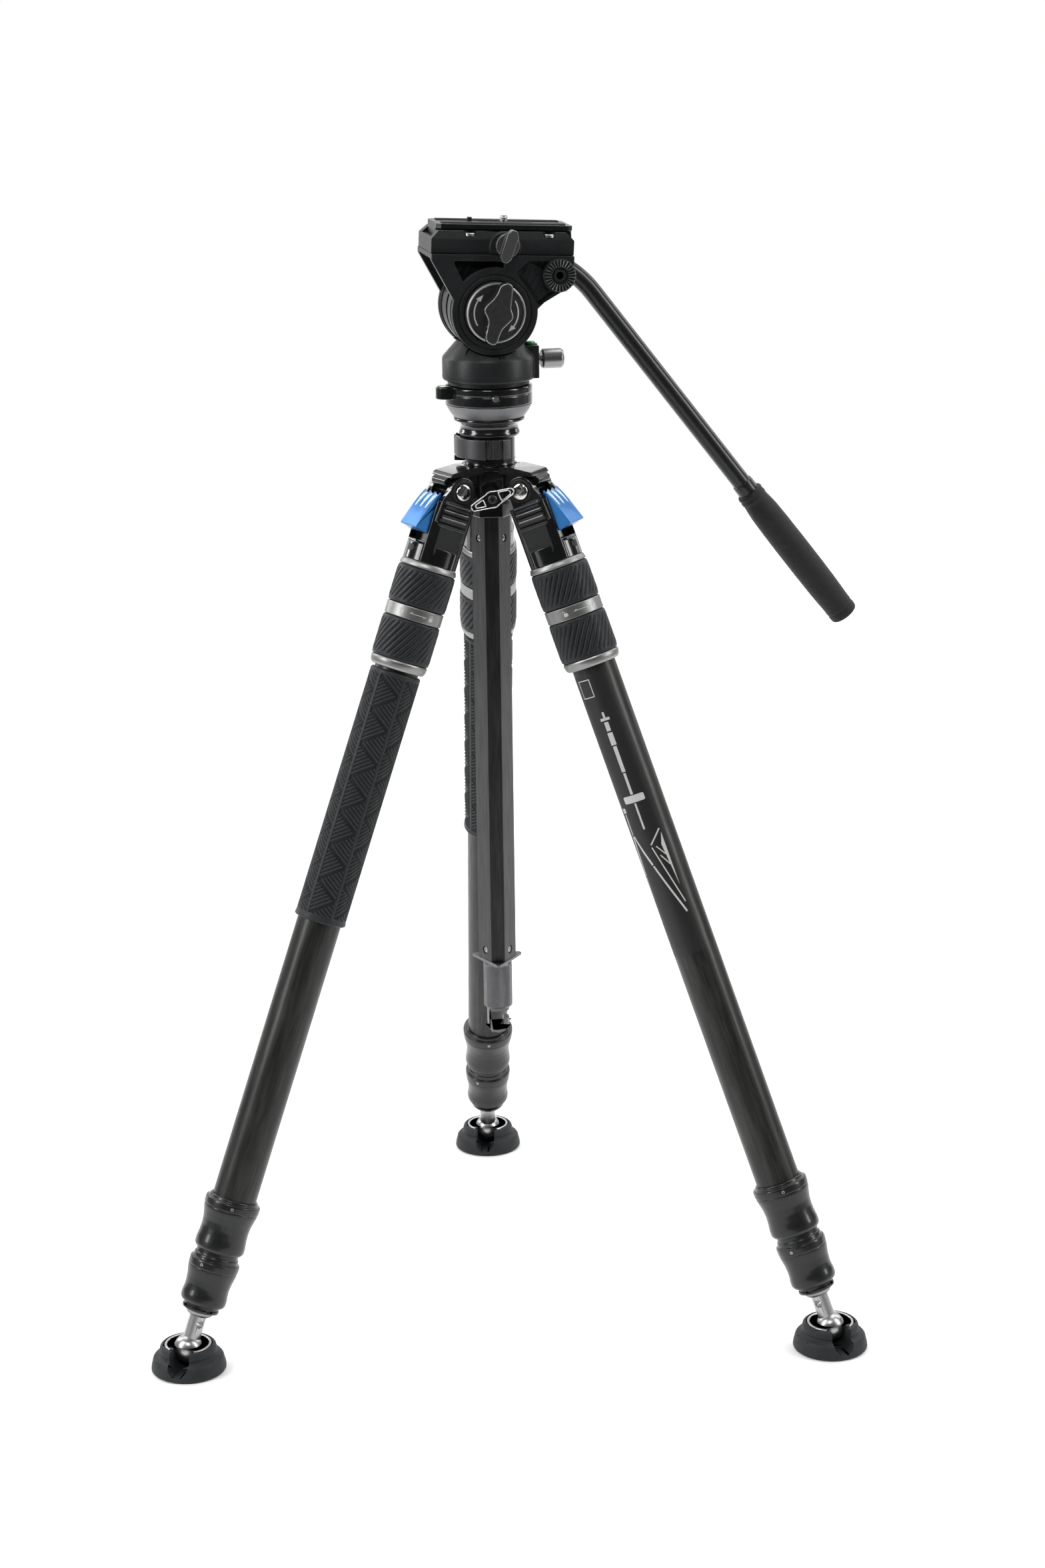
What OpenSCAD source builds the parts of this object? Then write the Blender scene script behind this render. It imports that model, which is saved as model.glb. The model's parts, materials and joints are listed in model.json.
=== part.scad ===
// Three-leg camera support with a levelling base, a fluid drag head and a pan handle.
// Millimetres, +Z up, standing on z = 0 with the origin under the middle of its outer box.

/* [Stance] */
// Distance from the column axis to each foot's ball centre
foot_r = 303.2; // [290:0.1:320]
// Angle of each leg from the vertical
splay = 21.54; // [20:0.01:24]
// Height of the foot's ball centre
ball_z = 17.9; // [17:0.1:19]
// Height of the leg hinges
hinge_z = 694.8; // [685:0.1:705]

/* [Legs] */
// Outside diameter of the upper leg section
upper_d = 36; // [34:0.5:38]
// Outside diameter of the middle leg section
middle_d = 32; // [30:0.5:33]
// Outside diameter of the lower leg section
lower_d = 28; // [26:0.5:29]
// Wall of the lower leg section
tube_wall = 1.6; // [1:0.1:1.7]
// Diameter of the twist locks
lock_d = 47.2; // [45:0.1:48]
// Diameter of the rubber feet
pad_d = 61; // [56:0.5:64]
// Diameter of the ball on each foot stem
ball_d = 23.6; // [20:0.1:24]

/* [Column] */
// Distance from the column axis to each broad face
column_face = 12.2; // [11:0.1:12.5]
// Distance from the column axis to each narrow face
column_edge = 14.7; // [14:0.1:15]
// Height of the lower end of the column
column_low = 294; // [250:1:400]

/* [Head] */
// Turn of the head on its base
head_yaw = 9; // [0:1:20]
// Slope at which the camera platform rests
platform_tilt = 3; // [0:0.5:5]
// Height of the tilt axis
tilt_z = 836.8; // [834:0.1:845]
// Diameter of the half ball under the head
half_ball_d = 75; // [74:0.1:76]
// Length of the quick-release plate
plate_l = 108.6; // [90:0.1:120]
// Width of the quick-release plate
plate_w = 44; // [40:0.5:50]
// Diameter of the handle rod
rod_d = 15.5; // [14:0.1:16]
// Length of the straight part of the handle
rod_l = 352; // [300:1:360]

/* [Hidden] */
SIDES = ["left", "right", "rear"];
LEG_PARTS = ["leg_casting", "angle_tab", "upper_section", "trim_rings", "upper_lock", "lower_lock",
             "middle_section", "lower_section", "foot_stem", "foot_pad"];
$fn = 96;

eps = 0.01;
run_gap = 0.05;  // radial clearance of a running fit
free_gap = 0.3;  // clearance between pieces that only pass each other

LEG_AZ = [210, 330, 90];
SLOT_AZ = [253, 287, 262];

// stance
hinge_t = (hinge_z - ball_z) / cos(splay);
hinge_r = foot_r - hinge_t * sin(splay);
column_y = -foot_r / 4;

// leg sections, measured along the leg from the ball centre
lower_low = 36;
middle_low = 60;
collar1_low = 85.1;
collar1_top = 127.3;
collar2_low = 39.6;
collar2_top = 76.5;
lower_top = 520;
middle_top = 540;
tube_low = 108;
tube_top = 680;
sleeve_low = 365.9;
sleeve_top = 575.2;
ring3_low = 577.5;
lock2_low = 585;
ring2_low = 618.8;
lock1_low = 629.4;
ring1_low = 660.6;
casting_low = 665.4;
fork_half = 10.3;
ear_half = 17;
ear_r = 11.5;
bolt_r = 4;
fork_r = 17.4;

// spider and column
hub_low = 671;
hub_top = 712.5;
hub_edge = 19;
hub_face = 17.4;
neck_low = 712.6;
neck_top = 735.4;
neck_r = 20.4;
knob_z = 690.4;
lever_low = 719;
lever_top = 735;
lever_pivot = [25 * cos(165), 25 * sin(165)];

// head
ball_c_z = 775.6;
half_ball_low = 743;
base_low = 761.4;
base_top = 776.3;
pan_low = 776.6;
pan_r = 36.8;
drum_r = 33;
drum_half = 20.8;
side_in = 21.3;
side_out = 31;
ring_r = 34.3;
axle_r = 14;
deck_low = 40.5;
deck_top = 44.5;
deck_x0 = -52;
deck_x1 = 62;
body_top = 62.4;
body_half = 28;
channel_floor = 56.5;
plate_x = 7.5;
plate_low = 63;
plate_top = 67;
rosette = [50.5, 29.5];
rosette_r = 12.9;
rod_plane = 41;
bend_r = 90;
bend_deg = 30;
rod_slope = 49.2;
bend_start = [56.5, 34.5];
grip_l = 137;
grip_end_r = 12.2;

// how far the front feet and the handle reach along +X from the column axis
foot_reach = foot_r * cos(30) + pad_d / 2;
tip_u = rod_tip()[0] * cos(platform_tilt) + rod_tip()[1] * sin(platform_tilt);
tip_side = grip_end_r * sin(rod_slope + platform_tilt);
handle_reach = (tip_u + tip_side) * cos(head_yaw) - rod_plane * sin(head_yaw);
column_x = (foot_reach - max(foot_reach, handle_reach)) / 2;

// points of the handle's centre line in the platform's own plane
function bend_end() =
    [bend_start[0] + bend_r * (sin(rod_slope) - sin(rod_slope - bend_deg)),
     bend_start[1] - bend_r * (cos(rod_slope - bend_deg) - cos(rod_slope))];
function rod_tip() =
    [bend_end()[0] + rod_l * cos(rod_slope), bend_end()[1] - rod_l * sin(rod_slope)];

// three-cornered outline with each corner cut flat; narrow faces look to 270, 30 and 150 degrees
function tri_points(face, edge) =
    [for (c = [270, 30, 150]) for (s = [-1, 1])
        let (half = (2 * face - edge) * tan(30))
        [edge * cos(c) - s * half * sin(c), edge * sin(c) + s * half * cos(c)]];

module at_column() translate([column_x, column_y, 0]) children();
// leg frame: +Z up along the leg from the ball centre, +X away from the column
module leg_frame(i)
    at_column() rotate([0, 0, LEG_AZ[i]]) translate([foot_r, 0, ball_z]) rotate([0, -splay, 0]) children();
// head frame: +X to the handle side, +Y to the far side
module head_frame() at_column() rotate([0, 0, head_yaw]) children();
// platform frame: origin on the tilt axis
module platform_frame()
    head_frame() translate([0, 0, tilt_z]) rotate([0, platform_tilt, 0]) children();

module lathe(points) rotate_extrude() polygon(points);
module pipe(r_out, r_in, z0, z1)
    translate([0, 0, z0]) difference() {
        cylinder(r = r_out, h = z1 - z0);
        translate([0, 0, -eps]) cylinder(r = r_in, h = z1 - z0 + 2 * eps);
    }
module box(x0, x1, y0, y1, z0, z1) translate([x0, y0, z0]) cube([x1 - x0, y1 - y0, z1 - z0]);
// cylinder along +Y
module y_cyl(r, y0, y1) translate([0, y0, 0]) rotate([-90, 0, 0]) cylinder(r = r, h = y1 - y0);
// a flat outline drawn in X and Z, made y0 to y1 thick
module xz_plate(y0, y1)
    translate([0, y1, 0]) rotate([90, 0, 0]) linear_extrude(y1 - y0) children();
module at_xz(x, z) translate([x, 0, z]) children();

// ---------------------------------------------------------------- legs

module leg_casting(i) color("#141516") leg_frame(i) difference() {
    union() {
        intersection() {
            translate([0, 0, casting_low]) cylinder(r = 22.4, h = 52);
            box(-16, 18, -18.5, 18.5, casting_low, 716);
        }
        translate([0, 0, casting_low]) cylinder(r = 21.4, h = 14);
        xz_plate(-ear_half, ear_half)
            polygon([[-11.5, 700], [-11.5, hinge_t], [11, hinge_t], [15.6, 718], [16.5, 700]]);
        at_xz(0, hinge_t) y_cyl(ear_r, -ear_half, ear_half);
        for (s = [-1, 1]) for (k = [0:3]) rib(s, k);
    }
    // fork for the spider's arm
    at_xz(0, hinge_t) y_cyl(fork_r, -fork_half, fork_half);
    box(-20, 20, -fork_half, fork_half, hinge_t, hinge_t + 20);
    at_xz(0, hinge_t) y_cyl(bolt_r + run_gap, -25, 25);
    // socket for the upper section
    translate([0, 0, casting_low - eps]) cylinder(r = upper_d / 2 + 0.02, h = tube_top - casting_low + 1);
    // channel in which the angle tab slides
    box(12.2, 30, -12.3, 12.3, 681.9, 724);
}
module rib(s, k)
    translate([1.2, s * 17.6, 697.6 + 6.1 * k])
        rotate([0, 90, 0]) cylinder(r = 1.5, h = 24, center = true);

module angle_tab(i) color("#2f69ad") leg_frame(i) difference() {
    xz_plate(-12, 12)
        polygon([[12.5, 722], [17, 722], [20.4, 716], [23.6, 709], [26.6, 701], [30, 692], [30, 690.4],
                 [27.6, 690.4], [19.6, 688.2], [12.5, 688.2]]);
    at_xz(0, hinge_t) y_cyl(fork_r, -13, 13);
}

module upper_section(i) color("#2a2b2b") leg_frame(i) {
    pipe(upper_d / 2, middle_d / 2 + 0.35, tube_low, tube_top);
    difference() {
        lathe([[0, collar1_low], [19.4, collar1_low], [20.6, collar1_low + 1.8], [20.6, 91.5], [19.9, 97],
               [19.6, 103], [20.1, 109], [21.4, 115], [22.4, 118.5], [22.4, 120.5], [22.8, 121],
               [22.8, 126.4], [21.9, collar1_top], [20, collar1_top], [20, 129.2], [19.2, 130], [0, 130]]);
        translate([0, 0, collar1_low - 1]) cylinder(r = middle_d / 2 + run_gap, h = 50);
        translate([0, 0, tube_low]) cylinder(r = upper_d / 2 + 0.02, h = 50);
        for (a = [60, 180, 300]) set_screw(a, 20.8, 123.7);
    }
}

// sunk screw hole in the side of a collar
module set_screw(a, r, z)
    rotate([0, 0, a]) translate([r, 0, z]) rotate([0, 90, 0]) cylinder(r = 1.3, h = 4);

module trim_rings(i) color("#b9bab8") leg_frame(i) {
    difference() {
        lathe([[0, ring1_low], [23.2, ring1_low], [23.4, ring1_low + 1.2], [22.8, 664.4], [22, 665.2],
               [0, 665.2]]);
        translate([0, 0, ring1_low - 1]) cylinder(r = upper_d / 2 + 0.02, h = 8);
    }
    difference() {
        lathe([[0, ring2_low], [23, ring2_low], [23.4, ring2_low + 0.6], [23.4, 628.6], [23, 629.2],
               [0, 629.2]]);
        translate([0, 0, ring2_low - 1]) cylinder(r = upper_d / 2 + 0.02, h = 14);
    }
    difference() {
        lathe([[0, ring3_low], [21, ring3_low], [22.6, 579.6], [23.2, 583.4], [23, 584.8], [0, 584.8]]);
        translate([0, 0, ring3_low - 1]) cylinder(r = upper_d / 2 + 0.02, h = 10);
    }
}

// rubber-covered twist lock between two rings
module twist_lock(z0, z1) difference() {
    lathe([[0, z0], [lock_d / 2 - 1.4, z0], [lock_d / 2 - 0.3, z0 + 1.6], [lock_d / 2, z0 + 6],
           [lock_d / 2, z1 - 6], [lock_d / 2 - 0.3, z1 - 1.6], [lock_d / 2 - 1.4, z1], [0, z1]]);
    translate([0, 0, z0 - 1]) cylinder(r = upper_d / 2 + free_gap, h = z1 - z0 + 2);
}
module upper_lock(i) color("#35393b") leg_frame(i) twist_lock(lock1_low + 0.1, ring1_low - 0.2);
module lower_lock(i) color("#35393b") leg_frame(i) twist_lock(lock2_low, ring2_low - 0.2);

module grip_sleeve(i) color("#2c3032") leg_frame(i) difference() {
    lathe([[0, sleeve_low], [20.9, sleeve_low], [21.3, sleeve_low + 1.5], [20.8, sleeve_low + 5],
           [20.8, sleeve_top - 2], [20, sleeve_top], [0, sleeve_top]]);
    translate([0, 0, sleeve_low - 1]) cylinder(r = upper_d / 2 + 0.02, h = sleeve_top - sleeve_low + 2);
}

module middle_section(i) color("#1d1e1f") leg_frame(i) {
    pipe(middle_d / 2, lower_d / 2 + 0.35, middle_low, middle_top);
    difference() {
        lathe([[0, collar2_low], [17.6, collar2_low], [18.9, collar2_low + 2], [18.9, 46], [18.3, 50],
               [18.2, 54], [18.8, 60], [20, 66], [20.4, 69], [20.6, 70], [20.6, 75.6], [19.8, collar2_top],
               [18.4, collar2_top], [18.4, 80], [17.3, 80.6], [17.3, 84.4], [0, 84.4]]);
        translate([0, 0, collar2_low - 1]) cylinder(r = lower_d / 2 + run_gap, h = 50);
        translate([0, 0, middle_low]) cylinder(r = middle_d / 2 + 0.02, h = 50);
        for (a = [30, 150, 270]) set_screw(a, 18.8, 72.9);
    }
}

module lower_section(i) color("#1a1b1b") leg_frame(i) {
    pipe(lower_d / 2, lower_d / 2 - tube_wall, lower_low + 2.6, lower_top);
    difference() {
        union() {
            translate([0, 0, 33.6]) cylinder(r = 15.2, h = 2.4);
            translate([0, 0, 35.9]) cylinder(r = 13.9, h = 2.9);
        }
        translate([0, 0, 30]) cylinder(r = 9.6, h = 12);
        for (a = [0:90:270]) rotate([0, 0, a]) box(13, 17, -2.5, 2.5, 35, 40);
    }
}

module foot_stem(i) color("#c4c5c6") leg_frame(i) difference() {
    union() {
        sphere(r = ball_d / 2);
        cylinder(r = 7, h = 31);
        lathe([[0, 29.6], [7.6, 29.6], [8.6, 31], [9.5, 33.4], [9.5, 60], [0, 60]]);
    }
    translate([0, 0, 22]) y_cyl(3, -10, 10);
    translate([0, 0, -ball_d / 2 - 0.2]) cylinder(r = 5, h = 1.2);
}

module foot_pad(i) color("#33373a") at_column()
    rotate([0, 0, LEG_AZ[i]]) translate([foot_r, 0, 0]) difference() {
    lathe([[0, 0], [pad_d / 2 - 1.4, 0], [pad_d / 2, 1.6], [pad_d / 2 - 0.3, 4.4], [pad_d / 2 - 1.8, 10.6],
           [pad_d / 2 - 3.2, 12.4], [24.6, 13.2], [23.4, 14], [22.8, 15.4], [23.4, 16.2], [23.4, 17.6],
           [22.6, 20.6], [21.2, 22], [0, 22]]);
    translate([0, 0, ball_z]) sphere(r = ball_d / 2 + free_gap);
    translate([0, 0, 20]) cylinder(r1 = 11.9, r2 = 14.5, h = 2.1);
    translate([0, 0, 20.6]) pipe(19.3, 16.7, 0, 2);
    rotate([0, 0, SLOT_AZ[i] - LEG_AZ[i]]) {
        translate([0, 0, 12]) rotate([0, 90, 0]) cylinder(r = 8.2, h = 40);
        box(0, 40, -8.2, 8.2, 12, 30);
    }
}

// ---------------------------------------------------------------- spider and hinges

module hinge_bolts() color("#d8d6d2") at_column() for (az = LEG_AZ)
    rotate([0, 0, az]) translate([hinge_r, 0, hinge_z]) {
        y_cyl(bolt_r, -ear_half - 1, ear_half + 1);
        for (s = [0, 1]) mirror([0, s, 0]) translate([0, ear_half + free_gap, 0]) bolt_head();
    }
module bolt_head() rotate([-90, 0, 0]) difference() {
    lathe([[0, 0], [6.9, 0], [6.9, 0.9], [5.6, 2.2], [0, 2.8]]);
    translate([0, 0, 1.2]) cylinder(r = 2, h = 3, $fn = 6);
}

module spider() color("#101112") at_column() difference() {
    union() {
        translate([0, 0, hub_low]) linear_extrude(hub_top - 4 - hub_low)
            polygon(tri_points(hub_face, hub_edge));
        translate([0, 0, hub_top - 4 - eps]) cylinder(r = neck_r + 0.6, h = 4 + eps);
        for (az = LEG_AZ) rotate([0, 0, az]) spider_arm();
    }
    translate([0, 0, hub_low - 1]) linear_extrude(60)
        polygon(tri_points(column_face + 0.3, column_edge + 0.35));
    // screw of the wing knob
    translate([0, 0, knob_z]) y_cyl(3.05, -30, -10);
}
// arm in its own plane: +X away from the column
module spider_arm() difference() {
    union() {
        xz_plate(-14, 14)
            polygon([[14, 706.5], [14, 712.5], [25, 712.5], [43.5, 709.8], [45.6, 707.4], [45.6, 706.4]]);
        xz_plate(-10, 10)
            polygon([[14, 686], [14, 708], [44, 708], [49, 704.6], [49, 701.2], [45.5, 697], [40, 685.4],
                     [30, 685.4]]);
        at_xz(hinge_r, hinge_z) y_cyl(9.4, -10, 10);
    }
    at_xz(hinge_r, hinge_z) y_cyl(bolt_r + 0.02, -15, 15);
}

module wing_knob() color("#1a1a1b") at_column() at_xz(0, knob_z) {
    y_cyl(3, -36, -15.6);
    y_cyl(6.4, -40, -19.4);
    rotate([0, -23, 0]) xz_plate(-42.5, -37.5) difference() {
        union() {
            circle(r = 6.6);
            for (s = [-1, 1]) translate([s * 15, 0]) circle(r = 3.1);
            polygon([[-15, 3.1], [-15, -3.1], [0, -6.3], [15, -3.1], [15, 3.1], [0, 6.3]]);
        }
        for (s = [-1, 1]) polygon([[s * 7.4, 3], [s * 7.4, -3], [s * 14.6, -1.5], [s * 14.6, 1.5]]);
    }
}

// ---------------------------------------------------------------- column

module column_tube() color("#1c1d1d") at_column() translate([0, 0, column_low]) difference() {
    linear_extrude(neck_low - column_low) polygon(tri_points(column_face, column_edge));
    translate([0, 0, -1]) linear_extrude(neck_low - column_low + 2)
        polygon(tri_points(column_face - 2, column_edge - 2));
}

module column_plate() color("#3a3b3b") at_column() translate([0, 0, column_low - 2.8]) difference() {
    linear_extrude(2.6) polygon(tri_points(12.7, 23));
    translate([0, 0, -1]) cylinder(r = 5.02, h = 5);
}

module end_knob() color("#77787a") at_column() translate([0, 0, 250.8]) difference() {
    lathe([[0, 0], [11, 0], [12.1, 1.2], [12.1, 38.6], [11.4, 39.8], [0, 39.8]]);
    translate([0, 0, -1]) cylinder(r = 5 + run_gap, h = 50);
}

module end_hook() color("#707173") at_column() {
    translate([0, 0, 248]) cylinder(r = 5, h = 60);
    difference() {
        intersection() {
            translate([0, 0, 228]) cylinder(r = 9.3, h = 22.4);
            xz_plate(-6, 6) union() {
                translate([0, 237.3]) circle(r = 9.3);
                translate([-9.3, 237.3]) square([18.6, 13.1]);
            }
        }
        // eye of the hook and its mouth
        xz_plate(-8, 8) {
            translate([-1.6, 236.8]) circle(r = 5.4);
            translate([-7, 236.8]) square([10.8, 10]);
            translate([3.7, 241]) square([8, 5.8]);
        }
    }
}

module column_neck() color("#121314") at_column() {
    difference() {
        union() {
            lathe([[0, neck_low], [neck_r + 0.5, neck_low], [neck_r + 0.5, neck_low + 1.4],
                   [neck_r, neck_low + 1.8], [neck_r, neck_top], [0, neck_top]]);
            hinge_lug(714.4, lever_low - 0.3);
        }
        translate([0, 0, neck_low - 1]) cylinder(r = 6, h = 30);
    }
    translate([lever_pivot[0], lever_pivot[1], 718]) cylinder(r = 1.8, h = lever_top - 718 - 1);
}
module hinge_lug(z0, z1) intersection() {
    translate([0, 0, z0]) rotate([0, 0, 165]) box(15, 29, -4, 4, 0, z1 - z0);
    translate([0, 0, z0]) cylinder(r = 28.6, h = z1 - z0);
}

// curved lever that lies round the neck
module flip_lever() color("#6d6f71") at_column() difference() {
    union() {
        intersection() {
            pipe(27.6, 21.3, lever_low, lever_top);
            translate([0, 0, lever_low]) linear_extrude(lever_top - lever_low)
                polygon([[0, 0], [60 * cos(166), 60 * sin(166)], [-70, -30], [-30, -70], [30, -70],
                         [60 * cos(306), 60 * sin(306)]]);
        }
        translate([lever_pivot[0], lever_pivot[1], lever_low])
            cylinder(r = 4, h = lever_top - lever_low);
    }
    translate([lever_pivot[0], lever_pivot[1], lever_low - 1]) cylinder(r = 1.85, h = 20);
    for (a = [264:8:288]) rotate([0, 0, a]) translate([28.4, 0, lever_low + 1]) cylinder(r = 1.2, h = 14);
}

module bowl_collar() color("#101112") at_column() difference() {
    lathe([[0, neck_top + 0.1], [23.4, neck_top + 0.1], [24.3, 736.6], [24.5, 738.4], [23.6, 740.4],
           [23.2, 742], [23.6, 744], [25, 746], [27.4, 747.4], [28.4, 748.2], [28.6, 749.6], [28.2, 750.6],
           [0, 750.6]]);
    translate([0, 0, ball_c_z]) sphere(r = half_ball_d / 2 + free_gap);
}

// ---------------------------------------------------------------- levelling base

module half_ball() color("#77777a") at_column() intersection() {
    translate([0, 0, ball_c_z]) sphere(r = half_ball_d / 2);
    translate([0, 0, half_ball_low]) cylinder(r = 60, h = base_low - half_ball_low - 0.1);
}

module levelling_base() color("#0c0d0e") head_frame() difference() {
    union() {
        lathe([[0, base_low], [34.2, base_low], [34.9, base_low + 0.8], [34.9, 769.4], [34.4, 769.8],
               [34.4, 770.6], [34.9, 771], [34.9, 775.4], [34.2, base_top], [0, base_top]]);
        rotate([0, 0, 192]) {
            translate([37.2, 0, 767.2]) cylinder(r = 8, h = base_top - 767.2);
            box(25, 37.2, -8, 8, 767.2, base_top);
        }
    }
    rotate([0, 0, 192]) translate([38.4, 0, 774.6]) cylinder(r = 4.4, h = 5);
    rotate([0, 0, 268]) translate([33.2, 0, 768.6]) rotate([0, 90, 0]) cylinder(r = 3, h = 5);
}
module base_bubble() color("#9fd36a")
    head_frame() rotate([0, 0, 192]) translate([38.4, 0, 774.7]) cylinder(r = 4.2, h = 2.2);

// ---------------------------------------------------------------- pan base and tilt drum

module pan_base() color("#1b1d1e") head_frame() difference() {
    union() {
        lathe([[0, pan_low], [32.6, pan_low], [32.6, 780.4], [35.6, 780.4], [pan_r, 781.6], [pan_r, 797.4],
               [36, 799.2], [26.5, 810], [24.5, 812], [0, 812]]);
        // boss that carries the pan lock and the level
        intersection() {
            box(22, 39.2, -12, 12, 780.6, 806.4);
            translate([0, 0, 780]) cylinder(r = 40.6, h = 30);
        }
        box(-17, 17, -drum_half, drum_half, 800, 815);
    }
    // room for the drum and for the cradle's two rings
    at_xz(0, tilt_z) y_cyl(drum_r + 0.02, -drum_half - 0.2, drum_half + 0.2);
    for (s = [0, 1]) mirror([0, s, 0]) at_xz(0, tilt_z) y_cyl(ring_r + 0.8, drum_half + 0.1, 50);
    translate([33.4, -1, 803.4]) cylinder(r = 4.9, h = 6);
    translate([30, 0, 794.3]) rotate([0, 90, 0]) cylinder(r = 2.65, h = 20);
}
module pan_bubble() color("#3ccf4e") head_frame() translate([33.4, -1, 803.5])
    lathe([[0, 0], [4.7, 0], [4.7, 4.6], [3.6, 5.6], [0, 6]]);

module pan_knob() color("#a7a8a9") head_frame() translate([0, 0, 794.3]) rotate([0, 90, 0]) {
    translate([0, 0, 30.5]) cylinder(r = 2.6, h = 14);
    translate([0, 0, 43]) lathe([[0, 0], [6.9, 0], [7.9, 1], [7.9, 16.2], [6.6, 17.8], [0, 17.8]]);
}

module tilt_core() color("#232628") head_frame() at_xz(0, tilt_z) {
    difference() {
        y_cyl(drum_r, -drum_half, drum_half);
        difference() {
            y_cyl(drum_r + 1, -3, 3);
            y_cyl(30, -3.5, 3.5);
        }
    }
    for (s = [0, 1]) mirror([0, s, 0]) y_cyl(axle_r, drum_half, 26);
}

module tilt_knob() color("#4b4c4f") head_frame() at_xz(0, tilt_z) {
    translate([0, -26.2, 0]) rotate([90, 0, 0])
        lathe([[0, 0], [23, 0], [24.1, 1], [24.1, 9], [22.9, 10.4], [21.6, 10.4], [21, 9.8], [0, 9.8]]);
    // grip bar across the disc
    rotate([0, 14, 0]) xz_plate(-44.5, -35.9) union() {
        circle(r = 10);
        for (s = [-1, 1]) translate([s * 2, s * 21.4]) circle(r = 3.6);
        polygon([[-9.4, 3], [-1.5, 21.4], [5.6, 21.4], [9.4, -3], [1.5, -21.4], [-5.6, -21.4]]);
    }
}

// ---------------------------------------------------------------- camera platform

// outline of one side of the cradle
module cradle_side() difference() {
    union() {
        circle(r = ring_r);
        polygon([[deck_x0, deck_top], [deck_x0, 40], [-33.2, 8.8], [0, 0], [33.6, 2.4], [48, 16.6],
                 [60, 20.5], [deck_x1, 28], [deck_x1, deck_top]]);
        translate(rosette) circle(r = rosette_r);
    }
    difference() {
        polygon([[-34, 37.6], [-33, 39.4], [6, 39.4], [6, 34], [-18, 20], [-26.5, 23.4]]);
        circle(r = ring_r + 0.7);
    }
    difference() {
        polygon([[17, 30], [18.6, 32.6], [25.6, 39.4], [36.4, 39.4], [36.4, 22], [40, 15.4], [36, 11],
                 [22, 12]]);
        circle(r = ring_r + 0.7);
        translate(rosette) circle(r = rosette_r + 2.6);
    }
}

module cradle() color("#131516") platform_frame() difference() {
    union() {
        for (s = [0, 1]) mirror([0, s, 0]) {
            xz_plate(-side_out, -side_in - 3) cradle_side();
            y_cyl(ring_r - 0.3, -side_in - 4, -side_in);
            at_xz(rosette[0], rosette[1]) y_cyl(rosette_r - 0.2, -32.9, -21.9);
        }
        box(deck_x0, deck_x1, -side_out, side_out, deck_low, deck_top);
    }
    y_cyl(axle_r + run_gap, -26.1, 26.1);
    // seat of the tilt drag knob
    y_cyl(24.8, -40, -26.1);
    at_xz(rosette[0], rosette[1]) y_cyl(3, -40, 40);
    at_xz(rosette[0], rosette[1]) difference() {
        y_cyl(6.4, -40, -31.9);
        y_cyl(5.2, -41, -31);
    }
    // room for the plate lock's knob
    at_xz(7.7, 52) y_cyl(9.8, -40, -29.6);
    // shallow groove round each ring
    for (s = [0, 1]) mirror([0, s, 0]) difference() {
        y_cyl(29.6, -40, -30);
        y_cyl(28.2, -41, -29);
    }
}

module clamp_body() color("#17191a") platform_frame() difference() {
    union() {
        // broad body with bevelled upper edges, drawn end-on and run along X
        translate([deck_x0, 0, 0]) rotate([90, 0, 90]) linear_extrude(deck_x1 - deck_x0)
            polygon([[-body_half, deck_top + 0.1], [body_half, deck_top + 0.1], [body_half, 56],
                     [25.4, body_top], [-25.4, body_top], [-body_half, 56]]);
        at_xz(6.6, 50) intersection() {
            y_cyl(12.4, -29.6, -20);
            box(-20, 20, -30, -19, -5.3, 12);
        }
    }
    // dovetail channel for the plate
    translate([deck_x0 - 1, 0, 0]) rotate([90, 0, 90]) linear_extrude(deck_x1 - deck_x0 + 2)
        polygon([[-18.9, channel_floor], [18.9, channel_floor], [15.9, body_top + 0.1],
                 [-15.9, body_top + 0.1]]);
    // corners cut back at both ends
    for (x = [deck_x0, deck_x1])
        translate([x, 0, body_top]) rotate([0, 45, 0]) cube([9, 80, 9], center = true);
    // pocket of the moving jaw and the bore of its knob
    box(-14.3, 27.3, -24.3, -14, 48, body_top + 1);
    at_xz(7.7, 52) y_cyl(3.05, -35, -20);
    for (x = [-21, 42.3]) translate([x, -23.6, 58]) cylinder(r = 4.9, h = 8);
}

module clamp_jaw() color("#3b3d3f") platform_frame()
    translate([-14, 0, 0]) rotate([90, 0, 90]) linear_extrude(41)
        polygon([[-22.4, 48.3], [-15.9, 48.3], [-15.9, channel_floor - 0.3], [-18.95, channel_floor + 0.3],
                 [-16.1, body_top - 0.3], [-22.4, body_top - 0.3]]);

module plate_lock_knob() color("#4a4c4e") platform_frame() at_xz(7.7, 52) {
    y_cyl(3, -32, -23.8);
    y_cyl(9.4, -34.4, -29.9);
    rotate([0, 17, 0]) xz_plate(-41.6, -34)
        polygon([[-4.6, -9], [-2, -13], [2, -13], [4.6, -9], [4.6, 9], [2, 13], [-2, 13], [-4.6, 9]]);
}

module quick_plate() color("#151617") platform_frame() translate([plate_x, 0, 0]) difference() {
    union() {
        box(-plate_l / 2, plate_l / 2, -plate_w / 2, plate_w / 2, plate_low, plate_top);
        translate([-plate_l / 2, 0, 0]) rotate([90, 0, 90]) linear_extrude(plate_l)
            polygon([[-18.4, channel_floor + 0.4], [18.4, channel_floor + 0.4], [15.4, plate_low + eps],
                     [-15.4, plate_low + eps]]);
        // fixed index pin
        translate([-24.5, 0, plate_top - eps]) cylinder(r = 2, h = 3.6);
    }
    // slot for the camera screw and the recess for its head
    box(-16, 26, -3.4, 3.4, channel_floor, plate_top + 1);
    box(-22, 32, -8, 8, channel_floor, 62);
    for (x = [-plate_l / 2, plate_l / 2]) for (y = [-1, 1])
        translate([x, y * plate_w / 2, 60]) rotate([0, 0, 45]) cube([5, 5, 30], center = true);
}

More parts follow.
